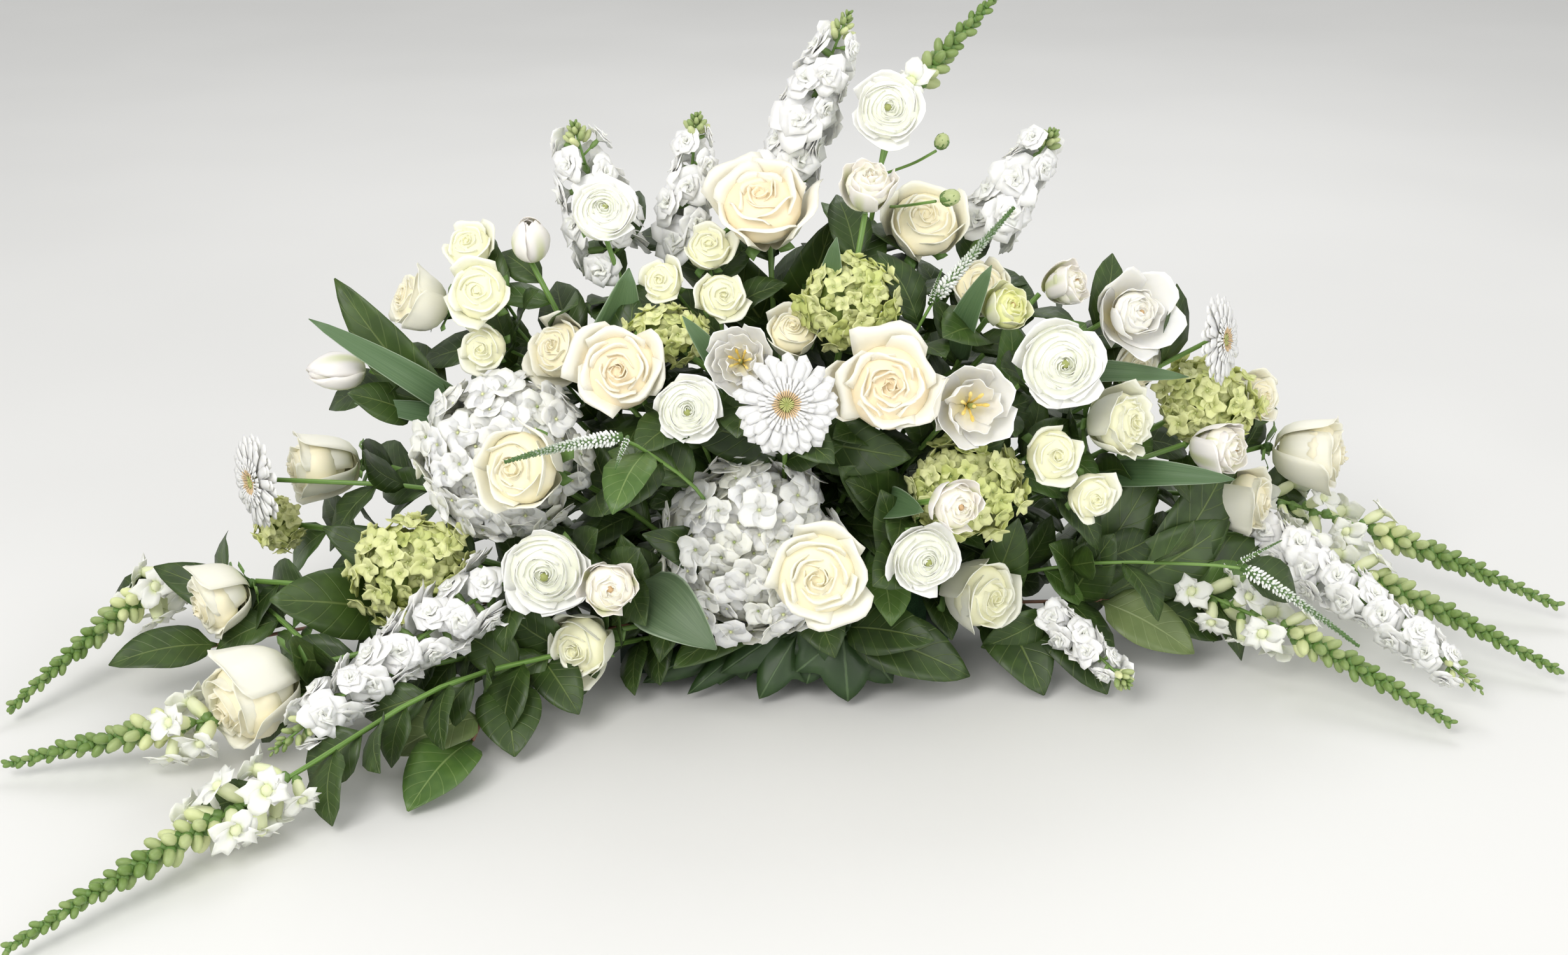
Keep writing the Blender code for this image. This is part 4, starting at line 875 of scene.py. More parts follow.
def rounded(path):
    """The path with each corner replaced by a short curve."""
    points = [path[0]]
    for before, corner, after in zip(path, path[1:], path[2:]):
        start, end = corner + (before - corner) * CORNER, corner + (after - corner) * CORNER
        points += list(bezier([start, corner, end], (0, 0.33, 0.67, 1)))
    return np.array(points + [path[-1]])


def stem_path(neck, axis, bend, root, via):
    """Three points from the foam, or from root, to the neck. The stem bends to come up behind its bloom."""
    end = foam_end(neck) if root is None else root
    behind = neck - axis * (bend * np.linalg.norm(neck - end))
    middle = cm(via) if via else end * 0.55 + neck * 0.45
    return list(bezier([end, middle, behind, neck], (0, 0.5, 1)))


# Centre and radius of all that no leaf may hide, in metres.
BLOOMS = []
# How far round a head its florets reach, from 1 at its front to -1, and how much its back is flattened.
HEAD_ROUND, FLAT_BACK = 1.62, 0.65
HEAD_STEM, FLORET_STEM, NECK_GAP, SPIKE_HALF_WIDTH = 3 * MM, 0.9 * MM, 4 * MM, 20 * MM


class Plant:
    """The stems of one plant, and all that has grown on them."""

    def __init__(self, slot):
        self.growth, self.slot, self.paths = Growth(), slot, []

    def bloom(self, made, neck, stem, place, turn, lift, radius, bend=0.25, root=None, via=None, spin=None):
        """A bloom of radius mm on its stem. neck is how far the stem's end lies behind, in radii, and 4 mm."""
        centre, axis, size = cm(place), facing(turn, lift), radius * MM
        end = centre - axis * (neck * size + NECK_GAP)
        path = stem_path(end, axis, bend, root, via)
        self.paths.append(path)
        tube(self.growth, rounded(path), stem * MM / 2)
        spin = CHANCE.uniform(0, 6) if spin is None else spin
        BLOOMS.append((centre, size))
        self.growth.put(made, turned(axis) @ spun(spin), centre, size)
        return self

    def on_stem(self, share):
        return along_path(self.paths[0], share)[0]

    def leaves(self, *rows):
        """Leaves from the same rows as the solid's: kind, stem, share along it, tip, width, turn, lift."""
        for kind, number, share, tip, width, turn, lift in rows:
            base = along_path(self.paths[number], share)[0]
            place = (self.growth, base, cm(tip), width * MM, facing(turn, lift))
            if kind == "ivy":
                ivy(*place)
            else:
                blade(*place, kind)
        return self

    def head(self, place, radii, turn, lift, florets, count, size, root=None, loose=0.10):
        """A dome of florets round a core of the same shape. radii in mm across, back and up."""
        centre, axis = cm(place), facing(turn, lift)
        path = stem_path(centre, axis, 0.2, root, None)
        self.paths.append(path)
        tube(self.growth, rounded(path), HEAD_STEM)
        turn_to, radii = turned(axis), 1.05 * np.array(radii) * MM
        BLOOMS.append((centre, radii.max()))

        def flat_backed(ways):
            """Where these ways from the middle meet the head, whose back is flattened."""
            return (ways - np.outer(FLAT_BACK * np.minimum(ways @ axis, 0), axis)) * radii

        number = np.arange(count)
        up = 1 - HEAD_ROUND * (number + 0.5) / count
        flat = np.sqrt(1 - up * up)
        ways = np.stack([flat * np.cos(GOLDEN * number), flat * np.sin(GOLDEN * number), up], 1) @ turn_to.T
        for k, (way, place_of) in enumerate(zip(ways, flat_backed(ways))):
            reach = (0.95 if k % 3 else 0.84) * CHANCE.uniform(1 - loose, 1)
            out = unit(unit(way / radii) + CHANCE.uniform(-0.35, 0.35, 3))
            tone = (CHANCE.uniform(0.25, 1.0), CHANCE.uniform())
            self.growth.put(
                florets[k % len(florets)], turned(out) @ spun(CHANCE.uniform(0, 6)), centre + place_of * reach,
                size * MM * CHANCE.uniform(0.75, 1.15), tone,
            )
            if k % 3 == 0:
                tube(self.growth, centre + np.outer((0.25, 0.97), place_of * reach), FLORET_STEM, "stem", 4)
        points, faces, places = ROUND
        # A green head's core is painted shade: a darker green than its florets, for the shade deep inside the head.
        # A white head's core has the florets' own white.
        stuff, inside = ("hydrangea", 0.74) if florets is WHITE_FLORETS else ("core", 0.64)
        self.growth.add(stuff, centre + flat_backed(points @ turn_to.T) * inside, faces, places, (0.2, 0.5), False)
        return self

    def spike(self, base, tip, sag, thick, root=None, via=None):
        """The stem of a spike, and the line of its flowering part."""
        start, end = cm(base), cm(tip)
        middle = (start + end) / 2 + (0, 0, sag * CM)
        flowering = bezier([start, middle, end], np.linspace(0, 1, 5))
        BLOOMS.extend((point, SPIKE_HALF_WIDTH) for point in bezier([start, middle, end], np.linspace(0, 1, 11)))
        below = stem_path(start, unit(flowering[1] - start), 0.25, root, via)
        path = below[:-1] + list(flowering)
        self.paths.append(below[:-1] + [along_path(flowering, s)[0] for s in (0, 0.1, 0.2)])
        radii = np.linspace(1, 0.45, len(rounded(path))) * thick * MM / 2
        tube(self.growth, rounded(path), radii)
        return flowering


def out_of(path, share, number):
    """A place on a path, the way on, and a way out of it, each a golden turn after the last."""
    point, ahead = along_path(path, share)
    angle = GOLDEN * number
    return point, ahead, turned(ahead) @ np.array((math.cos(angle), math.sin(angle), 0))


# %% Spikes
STOCK_STEP, STOCK_BUDS, WIDEST_FLORET = 7.4 * MM, 16, 22 * MM
LIP_REACH, LIP_SIZE, BUD_STEP = 25 * MM, 18 * MM, 3.1 * MM
BEADS_ROUND, SIDE_SPIKE_RADIUS = 8, 3.8 * MM


def stock(plant, base, tip, radius, sag=0.0, root=None):
    """Ruffled florets all round the stem, then buds that shrink to its end."""
    path = plant.spike(base, tip, sag, 5, root)
    length = np.linalg.norm(cm(tip) - cm(base))
    count = max(int(length / STOCK_STEP), 14)
    for k in range(count):
        share = k / count * 0.90
        point, ahead, out = out_of(path, share, k)
        size = radius * MM * (1 - 0.38 * share)
        way = unit(out + ahead * CHANCE.uniform(0.0, 0.6))
        turn = turned(way) @ spun(CHANCE.uniform(0, 6))
        reach = 0.60 * size * CHANCE.uniform(0.8, 1.25)
        scale = min(WIDEST_FLORET, 0.66 * size) * CHANCE.uniform(0.75, 1.15)
        plant.growth.put(STOCK_FLORETS[k % len(STOCK_FLORETS)], turn, point + way * reach, scale)
        tube(plant.growth, np.array([point, point + way * reach * 0.8]), 1.1 * MM, "stem", 5)
    for k in range(STOCK_BUDS):
        share = 0.84 + 0.17 * k / STOCK_BUDS
        point, ahead, out = out_of(path, share, k)
        way = unit(out * (1.2 - k / 20) + ahead)
        size = (6.0 - 0.25 * k) * MM
        lump(plant.growth, "bud", turned(way), point + way * (2.0 * size), (0.62 * size, 0.62 * size, 1.2 * size),
             (CHANCE.uniform(0.3, 0.9) * (1 - k / 22), CHANCE.uniform()), SMALL_BALL)
    return plant


def snapdragon(plant, base, tip, sag=0.0, open_share=0.3, florets=4, root=None, via=None):
    """Lipped florets low on the spike, then pairs of buds, white ones before green, to its end."""
    path = plant.spike(base, tip, sag, 5, root, via)
    for k in range(2 * florets):
        point, ahead, out = out_of(path, open_share * k / (2 * florets), k)
        way = unit(out + ahead * 0.5 - (0, 0, 0.35))
        frame_of = turned(way)
        upper = frame_of.T @ ahead
        turn = frame_of @ spun(math.atan2(upper[1], upper[0]))
        floret = SNAPDRAGON_FLORETS[k % len(SNAPDRAGON_FLORETS)]
        plant.growth.put(floret, turn, point + way * LIP_REACH, LIP_SIZE * CHANCE.uniform(0.85, 1.1))
        tube(plant.growth, np.array([point, point + way * 8 * MM]), 1.1 * MM, "stem", 5)
    length = np.linalg.norm(cm(tip) - cm(base)) * (1 - open_share)
    count = int(length / BUD_STEP)
    for k in range(count):
        late = k / count
        point, ahead, out = out_of(path, open_share + (1.0 - open_share) * late, k)
        way = unit(out + ahead * (0.7 + 0.8 * late))
        size = (11.5 - 7.2 * late**0.8) * MM * CHANCE.uniform(0.9, 1.1)
        tube(plant.growth, np.array([point, point + way * size * 0.8]), 0.9 * MM, "stem", 4)
        white = max(0.85 - 1.9 * late, 0.12) * CHANCE.uniform(0.6, 1.1)
        lump(plant.growth, "bud", turned(way), point + way * size * 1.1, (0.52 * size, 0.52 * size, 0.90 * size),
             (white, CHANCE.uniform()))
        lump(plant.growth, "sepal", turned(way), point + way * size * 0.6, (0.50 * size, 0.50 * size, 0.60 * size),
             (0.3, CHANCE.uniform()), EGG)
    return plant


def veronica(plant, base, tip, radius, side, sag=0.0):
    """A slim spike of white beads that turn to green specks at its end, and one small side spike."""
    path = plant.spike(base, tip, sag, 3.6)
    first = unit(path[1] - path[0])
    root = path[0] - first * 3 * MM
    side_path = np.array([root, (root * 0.4 + cm(side) * 0.6), cm(side)])
    tube(plant.growth, side_path, (1.2 * MM, 1.0 * MM, 0.5 * MM))
    for line, rows, most in ((path, 34, radius * MM), (side_path, 14, SIDE_SPIKE_RADIUS)):
        core = [along_path(line, share)[0] for share in np.linspace(0.02, 1, 9)]
        tube(plant.growth, np.array(core), most * np.linspace(0.50, 0.14, 9), "core_green")
        for row in range(rows):
            share = row / rows
            size = most * (1 - 0.66 * share**1.1) * min(0.5 + 7 * share, 1)
            for j in range(BEADS_ROUND):
                point, ahead = along_path(line, 0.02 + 0.98 * (row + CHANCE.uniform(-0.3, 0.3)) / rows)
                angle = 2 * math.pi * (j + 0.5 * (row % 2) + CHANCE.uniform(-0.2, 0.2)) / BEADS_ROUND
                out = turned(ahead) @ np.array((math.cos(angle), math.sin(angle), 0))
                way = unit(out + ahead * (0.35 + share))
                bead = size * 0.25 * CHANCE.uniform(0.8, 1.1)
                white = min(max(1.25 - 1.35 * share, 0), 1) * CHANCE.uniform(0.85, 1)
                lump(plant.growth, "bead", turned(way), point + way * (size - 1.6 * bead),
                     (bead * 0.72, bead * 0.72, bead * 1.6), (white, CHANCE.uniform()), SMALL_BALL)
    return plant


# %% [markdown]
# ## The flowers in their places
#
# Every row is one bloom: its place in cm across, back and up, the way it faces, and its radius in mm. The rows
# follow the solids, so each plant stays where its solid is.

# %% Ivy and core
def ivy_paint(name, deep, light, vein):
    """Five ribs run from the stalk to the leaf's points, narrow all the way."""
    paint = Paint(name, **LEAF_FINISH)
    across, along = paint.sheet("petal")
    _, chance = paint.sheet("tone")
    turn = (across - 0.5) * math.radians(2 * IVY_HALF_TURN)
    ribs = None
    for at, _ in IVY_POINTS:
        rib = 1.0 - ((turn - math.radians(at)).math("ABSOLUTE") * along).between(0.008, 0.026)
        ribs = rib if ribs is None else ribs.math("MAXIMUM", rib)
    mottle, colour = mottled(paint, chance, deep, light)
    return paint.finish(paint.mix(ribs * 0.7, colour, vein), mottle * 0.4 - ribs, 0.5, 0.8 * MM)


STUFFS["ivy"] = ivy_paint("ivy_leaf", (0.012, 0.034, 0.008), (0.028, 0.066, 0.014), (0.09, 0.15, 0.06))
STUFFS["core_green"] = stem_paint("spike_core", (0.06, 0.13, 0.03), (0.12, 0.22, 0.06))
# Painted shade: the dark core inside each green head stands for the shade between its florets.
STUFFS["core"] = stem_paint("shaded_core", (0.14, 0.20, 0.04), (0.24, 0.32, 0.08))
plants = {}


def planted(name, slot):
    """A new plant under its solid's name, with the slot of its main colour."""
    plants[name] = Plant(slot)
    return plants[name]


# %% Rose places
SHAPES, SPRAY_HEIGHT = ("wave", "ripples", "lip", "roll", "stray", "openness"), 1.1
ROSE_STEM, SPRAY_STEM = 5, 3.2


def own_shape(usual, more):
    """The usual shape, changed by what more says of the shape, which is taken out of it."""
    return {**usual, **{key: more.pop(key) for key in SHAPES if key in more}}


def opened(plant, place, turn, lift, radius, stuff="rose", **more):
    """A wide open rose."""
    made = rose(stuff, **own_shape(OPEN_ROSE, more))
    return plant.bloom(made, OPEN_ROSE["depth"], ROSE_STEM, place, turn, lift, radius, **more)


def goblet(plant, place, turn, lift, radius, stuff="rose", height=1.0, **more):
    """A rose that is half open, deeper than it is wide."""
    made = rose(stuff, height, **own_shape(GOBLET_ROSE, more))
    return plant.bloom(made, GOBLET_ROSE["depth"] * height, ROSE_STEM, place, turn, lift, radius, **more)


def spray(plant, place, turn, lift, radius, **more):
    """One of the small roses that share a branched stem."""
    made = rose("rose_green", SPRAY_HEIGHT, **SPRAY_ROSE)
    return plant.bloom(made, SPRAY_ROSE["depth"] * SPRAY_HEIGHT, SPRAY_STEM, place, turn, lift, radius, **more)


def rose_plant(name):
    return planted(name, "rose_petal")


goblet(rose_plant("rose_top"), (-1.8, -3, 42.5), -8, 48, 45, "rose_peach", lip=0.24, roll=0.2, openness=0.6)
goblet(rose_plant("rose_top_right"), (12.5, 0.5, 40), 4, 42, 39)
goblet(rose_plant("rose_upper_left"), (-32.4, -3, 34), -68, 28, 31, via=(-16, 1, 17))
heart = opened(rose_plant("roses_heart"), (-13.7, -13, 31), -1, 20, 43, "rose_peach")
goblet(heart, (-19.5, -6.5, 30.5), -34, 30, 32, root=heart.on_stem(0.4))
centre = opened(
    rose_plant("roses_centre"), (8.7, -15, 30.3), -3, 22, 47, "rose_peach", wave=0.05, stray=(3.3,), spin=0
)
goblet(centre, (0.8, -7.5, 32.5), 0, 50, 25, root=centre.on_stem(0.4))
low = goblet(rose_plant("roses_low_left"), (-45, -24.5, 5.9), -46, -8, 46, height=1.15, via=(-24, -10, 6))
goblet(low, (-50.6, -11, 8.5), -54, -12, 35, root=low.on_stem(0.5))
behind = goblet(rose_plant("roses_behind_tulips"), (17.6, 1, 34), 8, 42, 30)
opened(behind, (31.8, 0, 26.6), 24, 20, 25, root=behind.on_stem(0.3))
far = goblet(rose_plant("roses_far_right"), (51.6, 8, 15.3), 69, 2, 38, height=1.25)
goblet(far, (43.4, 1, 13.2), 62, 4, 34, height=1.15, root=far.on_stem(0.5))
goblet(far, (44.4, 6, 21.6), 40, 20, 25, root=far.on_stem(0.7))
opened(rose_plant("rose_front"), (3, -20, 15.1), 5, 14, 48, via=(3, -9, 6))
goblet(rose_plant("rose_on_hydrangea"), (-21.8, -18, 23.9), -22, 14, 40)
goblet(rose_plant("rose_left_lying"), (-43.6, 0.6, 16.8), -66, 4, 34, height=1.35)
goblet(rose_plant("rose_front_left"), (-17.6, -16.5, 6.8), -26, 6, 34, "rose_green")
goblet(rose_plant("rose_front_right"), (17.8, -11, 9), 40, 8, 37, "rose_green", height=1.1)
goblet(rose_plant("rose_right_frilled"), (29.7, -7, 24), 46, 14, 34, "rose_green", wave=0.05, ripples=5.0)

left = spray(rose_plant("spray_roses_left"), (-26, -6.5, 35.7), -4, 22, 31)
spray(left, (-27.4, -1.5, 38.4), -12, 45, 25, root=left.on_stem(0.7))
spray(left, (-26, -6, 30.4), -12, 10, 24, root=left.on_stem(0.6))
upper = spray(rose_plant("spray_roses_upper"), (-5.4, -6.8, 35.4), 8, 24, 25)
spray(upper, (-6.6, -2.6, 38.6), 0, 45, 25, root=upper.on_stem(0.75))
spray(upper, (-10.5, -5.6, 36.4), -18, 28, 22, root=upper.on_stem(0.7))
right = spray(rose_plant("spray_roses_right"), (23.2, -11, 22.6), 18, 14, 29)
spray(right, (26.8, -10, 18.2), 22, 4, 26, root=right.on_stem(0.6))
print("rose plants:", len(plants))

# %% Ranunculus places
RANUNCULUS_NECK, RANUNCULUS_STEM, BUD_NECK, BUD_STEM = 0.66, 4.4, 1.3, 2.6


def paper_flower(name, place, turn, lift, radius):
    return planted(name, "white_petal").bloom(
        ranunculus(), RANUNCULUS_NECK, RANUNCULUS_STEM, place, turn, lift, radius
    )


paper_flower("ranunculus_upper_left", (-15.3, -5, 42.3), 14, 36, 31)
top = paper_flower("ranunculus_top", (9, 1, 49.8), -6, 16, 34)
top.bloom(small_bud(), BUD_NECK, BUD_STEM, (13.7, 1.5, 46.8), 30, 50, 7, root=top.on_stem(0.8))
top.bloom(small_bud(), BUD_NECK, BUD_STEM, (14, -5.5, 43.6), 60, 20, 8, root=top.on_stem(0.7))
paper_flower("ranunculus_middle", (-8, -16, 28.4), 5, 8, 31)
paper_flower("ranunculus_right", (23.3, -11, 30.9), 8, 10, 41)
paper_flower("ranunculus_front_left", (-19.9, -18.5, 14.9), -2, 6, 41)
paper_flower("ranunculus_front_right", (11.8, -17.4, 15.6), 14, 6, 34)

# %% Tulip places
TULIP_STEM, CLOSED_NECK, FULL_NECK, WIDE_NECK = 5, 1.24, 1.06, 0.84


def closed_tulip(plant, place, turn, lift, radius, height):
    return plant.bloom(tulip(height), CLOSED_NECK * height, TULIP_STEM, place, turn, lift, radius)


def full_tulip(plant, place, turn, lift, radius, height=1.0, closing=0.30, stuff="tulip", **more):
    made = double_tulip(stuff, height, closing)
    return plant.bloom(made, FULL_NECK * height, TULIP_STEM, place, turn, lift, radius, **more)


def wide_tulip(plant, place, turn, lift, radius, rings=3, **more):
    made = open_tulip(rings) if rings else flared_tulip()
    return plant.bloom(made, WIDE_NECK, TULIP_STEM, place, turn, lift, radius, **more)


def tulip_plant(name):
    return planted(name, "tulip_petal")


closed_tulip(tulip_plant("tulip_upper_left"), (-21.8, -3.5, 39.5), 8, 66, 16, 1.1).leaves(
    ("strap", 0, 0.58, (-13.2, -6, 37.6), 50, 20, 20),
)
closed_tulip(tulip_plant("tulip_far_left"), (-39.4, -4, 27.6), -70, 4, 17, 1.25).leaves(
    ("strap", 0, 0.62, (-40.6, -7, 33.4), 26, 0, 30), ("strap", 0, 0.6, (-37.5, -6, 25.4), 22, 0, 30),
)
wide_tulip(tulip_plant("tulip_middle"), (-3.6, -14.6, 32.2), -5, 24, 27, 3).leaves(
    ("strap", 0, 0.7, (-8.4, -12.5, 35.4), 26, 10, 20),
)
full_tulip(tulip_plant("tulip_top"), (7.2, -4.5, 44.2), 8, 58, 26, closing=0.5).leaves(
    ("strap", 0, 0.6, (4.4, -8.5, 41), 32, -20, 20),
)
upper = full_tulip(tulip_plant("tulips_upper_right"), (24.8, -1, 34.6), 58, 26, 23, closing=0.5)
full_tulip(upper, (18.9, -7, 34.3), 34, 32, 23, stuff="tulip_green", root=upper.on_stem(0.5))
wide_tulip(upper, (31, -1, 32), 22, 20, 37, 0, root=upper.on_stem(0.4)).leaves(
    ("strap", 1, 0.4, (17.4, -8.6, 38.6), 28, -20, 20), ("strap", 2, 0.4, (36, -2, 26.4), 22, 0, 30),
)
full_tulip(tulip_plant("tulip_right"), (39, -3.6, 20.2), 46, 8, 27, 1.15, 0.45).leaves(
    ("strap", 0, 0.66, (39.5, -8, 19), 26, 0, 30),
)
centre = wide_tulip(tulip_plant("tulips_centre_right"), (15.6, -15, 28.4), 12, 16, 34, 2)
full_tulip(centre, (14, -19.6, 21.4), 28, 10, 25, 0.8, root=centre.on_stem(0.3)).leaves(
    ("strap", 1, 0.3, (11.6, -17.6, 20), 32, 0, 30),
)
full_tulip(tulip_plant("tulip_front_left"), (-14.4, -21.6, 15), 10, 12, 26, 0.8).leaves(
    ("sage", 0, 0.72, (-5.6, -21.9, 9.4), 56, 20, 14),
)

# %% Gerbera places
GERBERA_NECK, GERBERA_STEM, GERBERA_BEND = 0.12, 4.6, 0.3
for name, place, turn, lift, radius, via in (
    ("gerbera_centre", (0.2, -18, 29.6), 2, 20, 44, None), ("gerbera_right", (38.9, -0.5, 29.4), 58, 10, 41, None),
    ("gerbera_left", (-47.4, -4, 17.2), -52, 2, 45, (-22, -5, 17)),
):
    planted(name, "white_petal").bloom(
        gerbera(), GERBERA_NECK, GERBERA_STEM, place, turn, lift, radius, GERBERA_BEND, via=via
    )
print("plants so far:", len(plants))

# %% Spike places
def spike_plant(name, slot="white_petal"):
    return planted(name, slot)


tops = stock(spike_plant("stocks_top"), (-0.6, 5, 41.6), (5.5, 5.6, 56.9), 38)
stock(tops, (-9, 3, 36.5), (-7.6, 3.5, 48.4), 32, root=tops.on_stem(0.5))
stock(spike_plant("stock_upper_left"), (-15, 1, 36), (-18.2, 2, 48), 43)
stock(spike_plant("stock_upper_right"), (17.4, 5.4, 37), (23.8, 5.4, 46.6), 39)
stock(spike_plant("stock_front_left"), (-24, -15, 12.6), (-41, -29.8, 4.4), 37, 0.6)
right = stock(spike_plant("stocks_right"), (44.6, 3, 9.2), (60.2, -16.6, 3), 32, 1.0)
stock(right, (23.5, -9, 6.4), (29.8, -15.6, 3), 25, 0.6, root=right.on_stem(0.4))
snapdragon(spike_plant("snapdragon_top", "green_bud"), (10.6, 7, 49.5), (18.6, 9, 58), 0, 0.1, 1)
left = snapdragon(
    spike_plant("snapdragons_left", "green_bud"), (-47, -24.6, 4.4), (-64, -27, 1.4), 0.4, 0.2, 3, via=(-25, -13, 7)
)
snapdragon(left, (-56, -2, 7.4), (-67, -17.5, 1.4), 1, 0.2, 3, root=left.on_stem(0.35))
snapdragon(
    spike_plant("snapdragon_front_left", "green_bud"), (-38.6, -33.4, 4.2), (-55, -53, 1.4), 0.6, 0.3, 5,
    via=(-26, -22, 12.4),
)
far = snapdragon(spike_plant("snapdragons_right", "green_bud"), (43, 8, 8), (69.4, -10.6, 1.6), 1.4, 0.42, 6)
snapdragon(far, (45, 14.6, 9), (73.6, 2, 2), 1.4, 0.42, 6, root=far.on_stem(0.35))
snapdragon(far, (36, -3.5, 7), (57, -20, 1.4), 1.6, 0.42, 6, root=far.on_stem(0.3))
veronica(spike_plant("veronica_left"), (-12.8, -21, 28), (-22, -24.6, 27.2), 8.4, (-13.4, -23.6, 26.2), 0.5)
veronica(spike_plant("veronica_top"), (12.6, -6.6, 34.8), (19.6, -4, 42.4), 8.8, (13.2, -9, 38.4))
veronica(spike_plant("veronica_right"), (39.7, -11.6, 12.4), (49.1, -17.6, 7.5), 8.4, (42.8, -13, 15.4), 0.6)

# %% Hydrangea places
spike_plant("hydrangea_left").head((-24, -9, 21.5), (76, 56, 73), -28, 25, WHITE_FLORETS, 122, 17)
spike_plant("hydrangea_front").head(
    (-2.9, -11, 13.6), (78, 60, 86), -3, 15, WHITE_FLORETS, 146, 17, loose=0.14
).leaves(
    ("leaf", 0, 0.7, (-12, -15.4, 17), 48, 0, 20), ("small", 0, 0.6, (-12.6, -13, 11.6), 50, 0, 20),
)
upper = spike_plant("green_hydrangeas_upper", "green_floret")
upper.head((5.5, -7, 34.8), (43, 34, 42), 5, 40, GREEN_FLORETS, 92, 10.5, loose=0.24)
upper.head((-10, -8, 32.2), (38, 28, 27), -8, 40, GREEN_FLORETS, 60, 9.5, upper.on_stem(0.4), loose=0.24)
left = spike_plant("green_hydrangeas_left", "green_floret")
left.head((-32, -10.6, 11.2), (60, 40, 54), -38, 10, GREEN_FLORETS, 134, 11.5, loose=0.24)
left.head((-46.6, 1.4, 10.8), (29, 24, 24), -56, 0, GREEN_FLORETS, 50, 9, left.on_stem(0.4), loose=0.2)
spike_plant("green_hydrangea_middle", "green_floret").head(
    (15.4, -11, 19.4), (54, 38, 48), 26, 10, GREEN_FLORETS, 114, 11, loose=0.24
).leaves(("small", 0, 0.6, (4.6, -12.6, 22), 50, 0, 20), ("small", 0, 0.8, (19, -9.6, 28.6), 50, 0, 20))
spike_plant("green_hydrangea_right", "green_floret").head(
    (38.5, 3.4, 21.8), (56, 38, 43), 48, 20, GREEN_FLORETS, 114, 11, loose=0.24
)

# %% Leaf places
def leafy(name, *branches, thick=3.4):
    plant = planted(name, "dark_leaf")
    for branch in branches:
        points = [cm(p) for p in branch]
        path = bezier([foam_end(points[-1])] + points, np.linspace(0, 1, 6))
        plant.paths.append(list(path))
        tube(plant.growth, path, thick * MM / 2, "stem_brown")
    return plant


leafy("salal_left", ((-16, -2, 18), (-34, -4, 24)), ((-20, -4, 8.4), (-52, -11, 4))).leaves(
    ("leaf", 0, 0.85, (-39, -3, 35.8), 46, -4, 10), ("small", 0, 0.96, (-37.6, -8, 27), 38, 6, 40),
    ("leaf", 1, 0.7, (-44.6, -13.6, 10), 66, 4, 40), ("small", 1, 0.55, (-41, -7, 14), 56, 4, 30),
    ("leaf", 1, 0.86, (-56.6, -6.6, 10), 46, 6, 40), ("leaf", 1, 0.97, (-58.8, -15, 4.4), 46, 6, 60),
)
leafy("salal_front_left", ((-14, -10, 8), (-26, -16, 6), (-26, -24, 2))).leaves(
    ("leaf", 0, 0.75, (-22.4, -25, 1), 56, 6, 40), ("small", 0, 0.6, (-17.4, -20.6, 2.6), 42, 10, 40),
    ("olive", 0, 0.9, (-32.4, -26.4, 2), 50, 0, 60), ("young", 0, 1, (-30, -33, 0.6), 56, 0, 70),
    ("small", 0, 0.68, (-28, -15.6, 8), 40, 0, 40),
)
leafy("ivy_front", ((-4, -7, 5.6), (0, -10.5, 5.4), (5, -11.6, 6.4))).leaves(
    ("ivy", 0, 0.5, (-8.6, -13.4, 0.6), 46, -4, 30), ("ivy", 0, 0.75, (-2.2, -14.2, 0.6), 64, -4, 30),
    ("ivy", 0, 1, (5.6, -14.6, 0.6), 88, 6, 30), ("ivy", 0, 0.4, (-12.6, -12.4, 1.2), 66, -10, 30),
    ("ivy", 0, 0.7, (-5.6, -12.8, 2.4), 60, -4, 40), ("ivy", 0, 0.9, (2, -13.6, 1.8), 60, 0, 40),
    ("ivy", 0, 1, (9.6, -12.6, 1.4), 70, 10, 30), ("leaf", 0, 1, (16.4, -13.2, 2.4), 58, 18, 40),
    ("leaf", 0, 1, (13, -15.4, 7), 50, 16, 40), ("leaf", 0, 0.2, (-9.6, -15.6, 4.4), 50, -16, 40),
)
leafy("salal_right", ((14, -6, 6), (32, -5, 6))).leaves(
    ("leaf", 0, 0.6, (23, -13.4, 0.6), 62, 0, 50), ("leaf", 0, 0.75, (28.6, -13.2, 0.6), 60, 0, 50),
    ("olive", 0, 0.9, (37, -8.8, 2.4), 52, 0, 50), ("small", 0, 1, (40, -6.4, 2.6), 38, 0, 50),
    ("small", 0, 0.82, (29.4, -7, 13.4), 50, -8, 30), ("leaf", 0, 0.9, (41, -1, 12), 60, 10, 20),
    ("leaf", 0, 0.8, (34, 0, 17), 60, 10, 10), ("leaf", 0, 1, (47, 2, 8), 56, 20, 40),
    ("leaf", 0, 1, (42, 4, 17.6), 60, 10, 10), ("leaf", 0, 0.55, (20.6, -8.6, 15.6), 50, 10, 20),
)
leafy("salal_centre", ((1, -6, 14), (1, -8.4, 23))).leaves(
    ("leaf", 0, 1, (10.8, -12, 22.6), 50, 6, 20), ("leaf", 0, 0.95, (-9, -9.4, 25), 50, -6, 20),
    ("leaf", 0, 1, (13, -7.6, 31.4), 46, 6, 30),
)
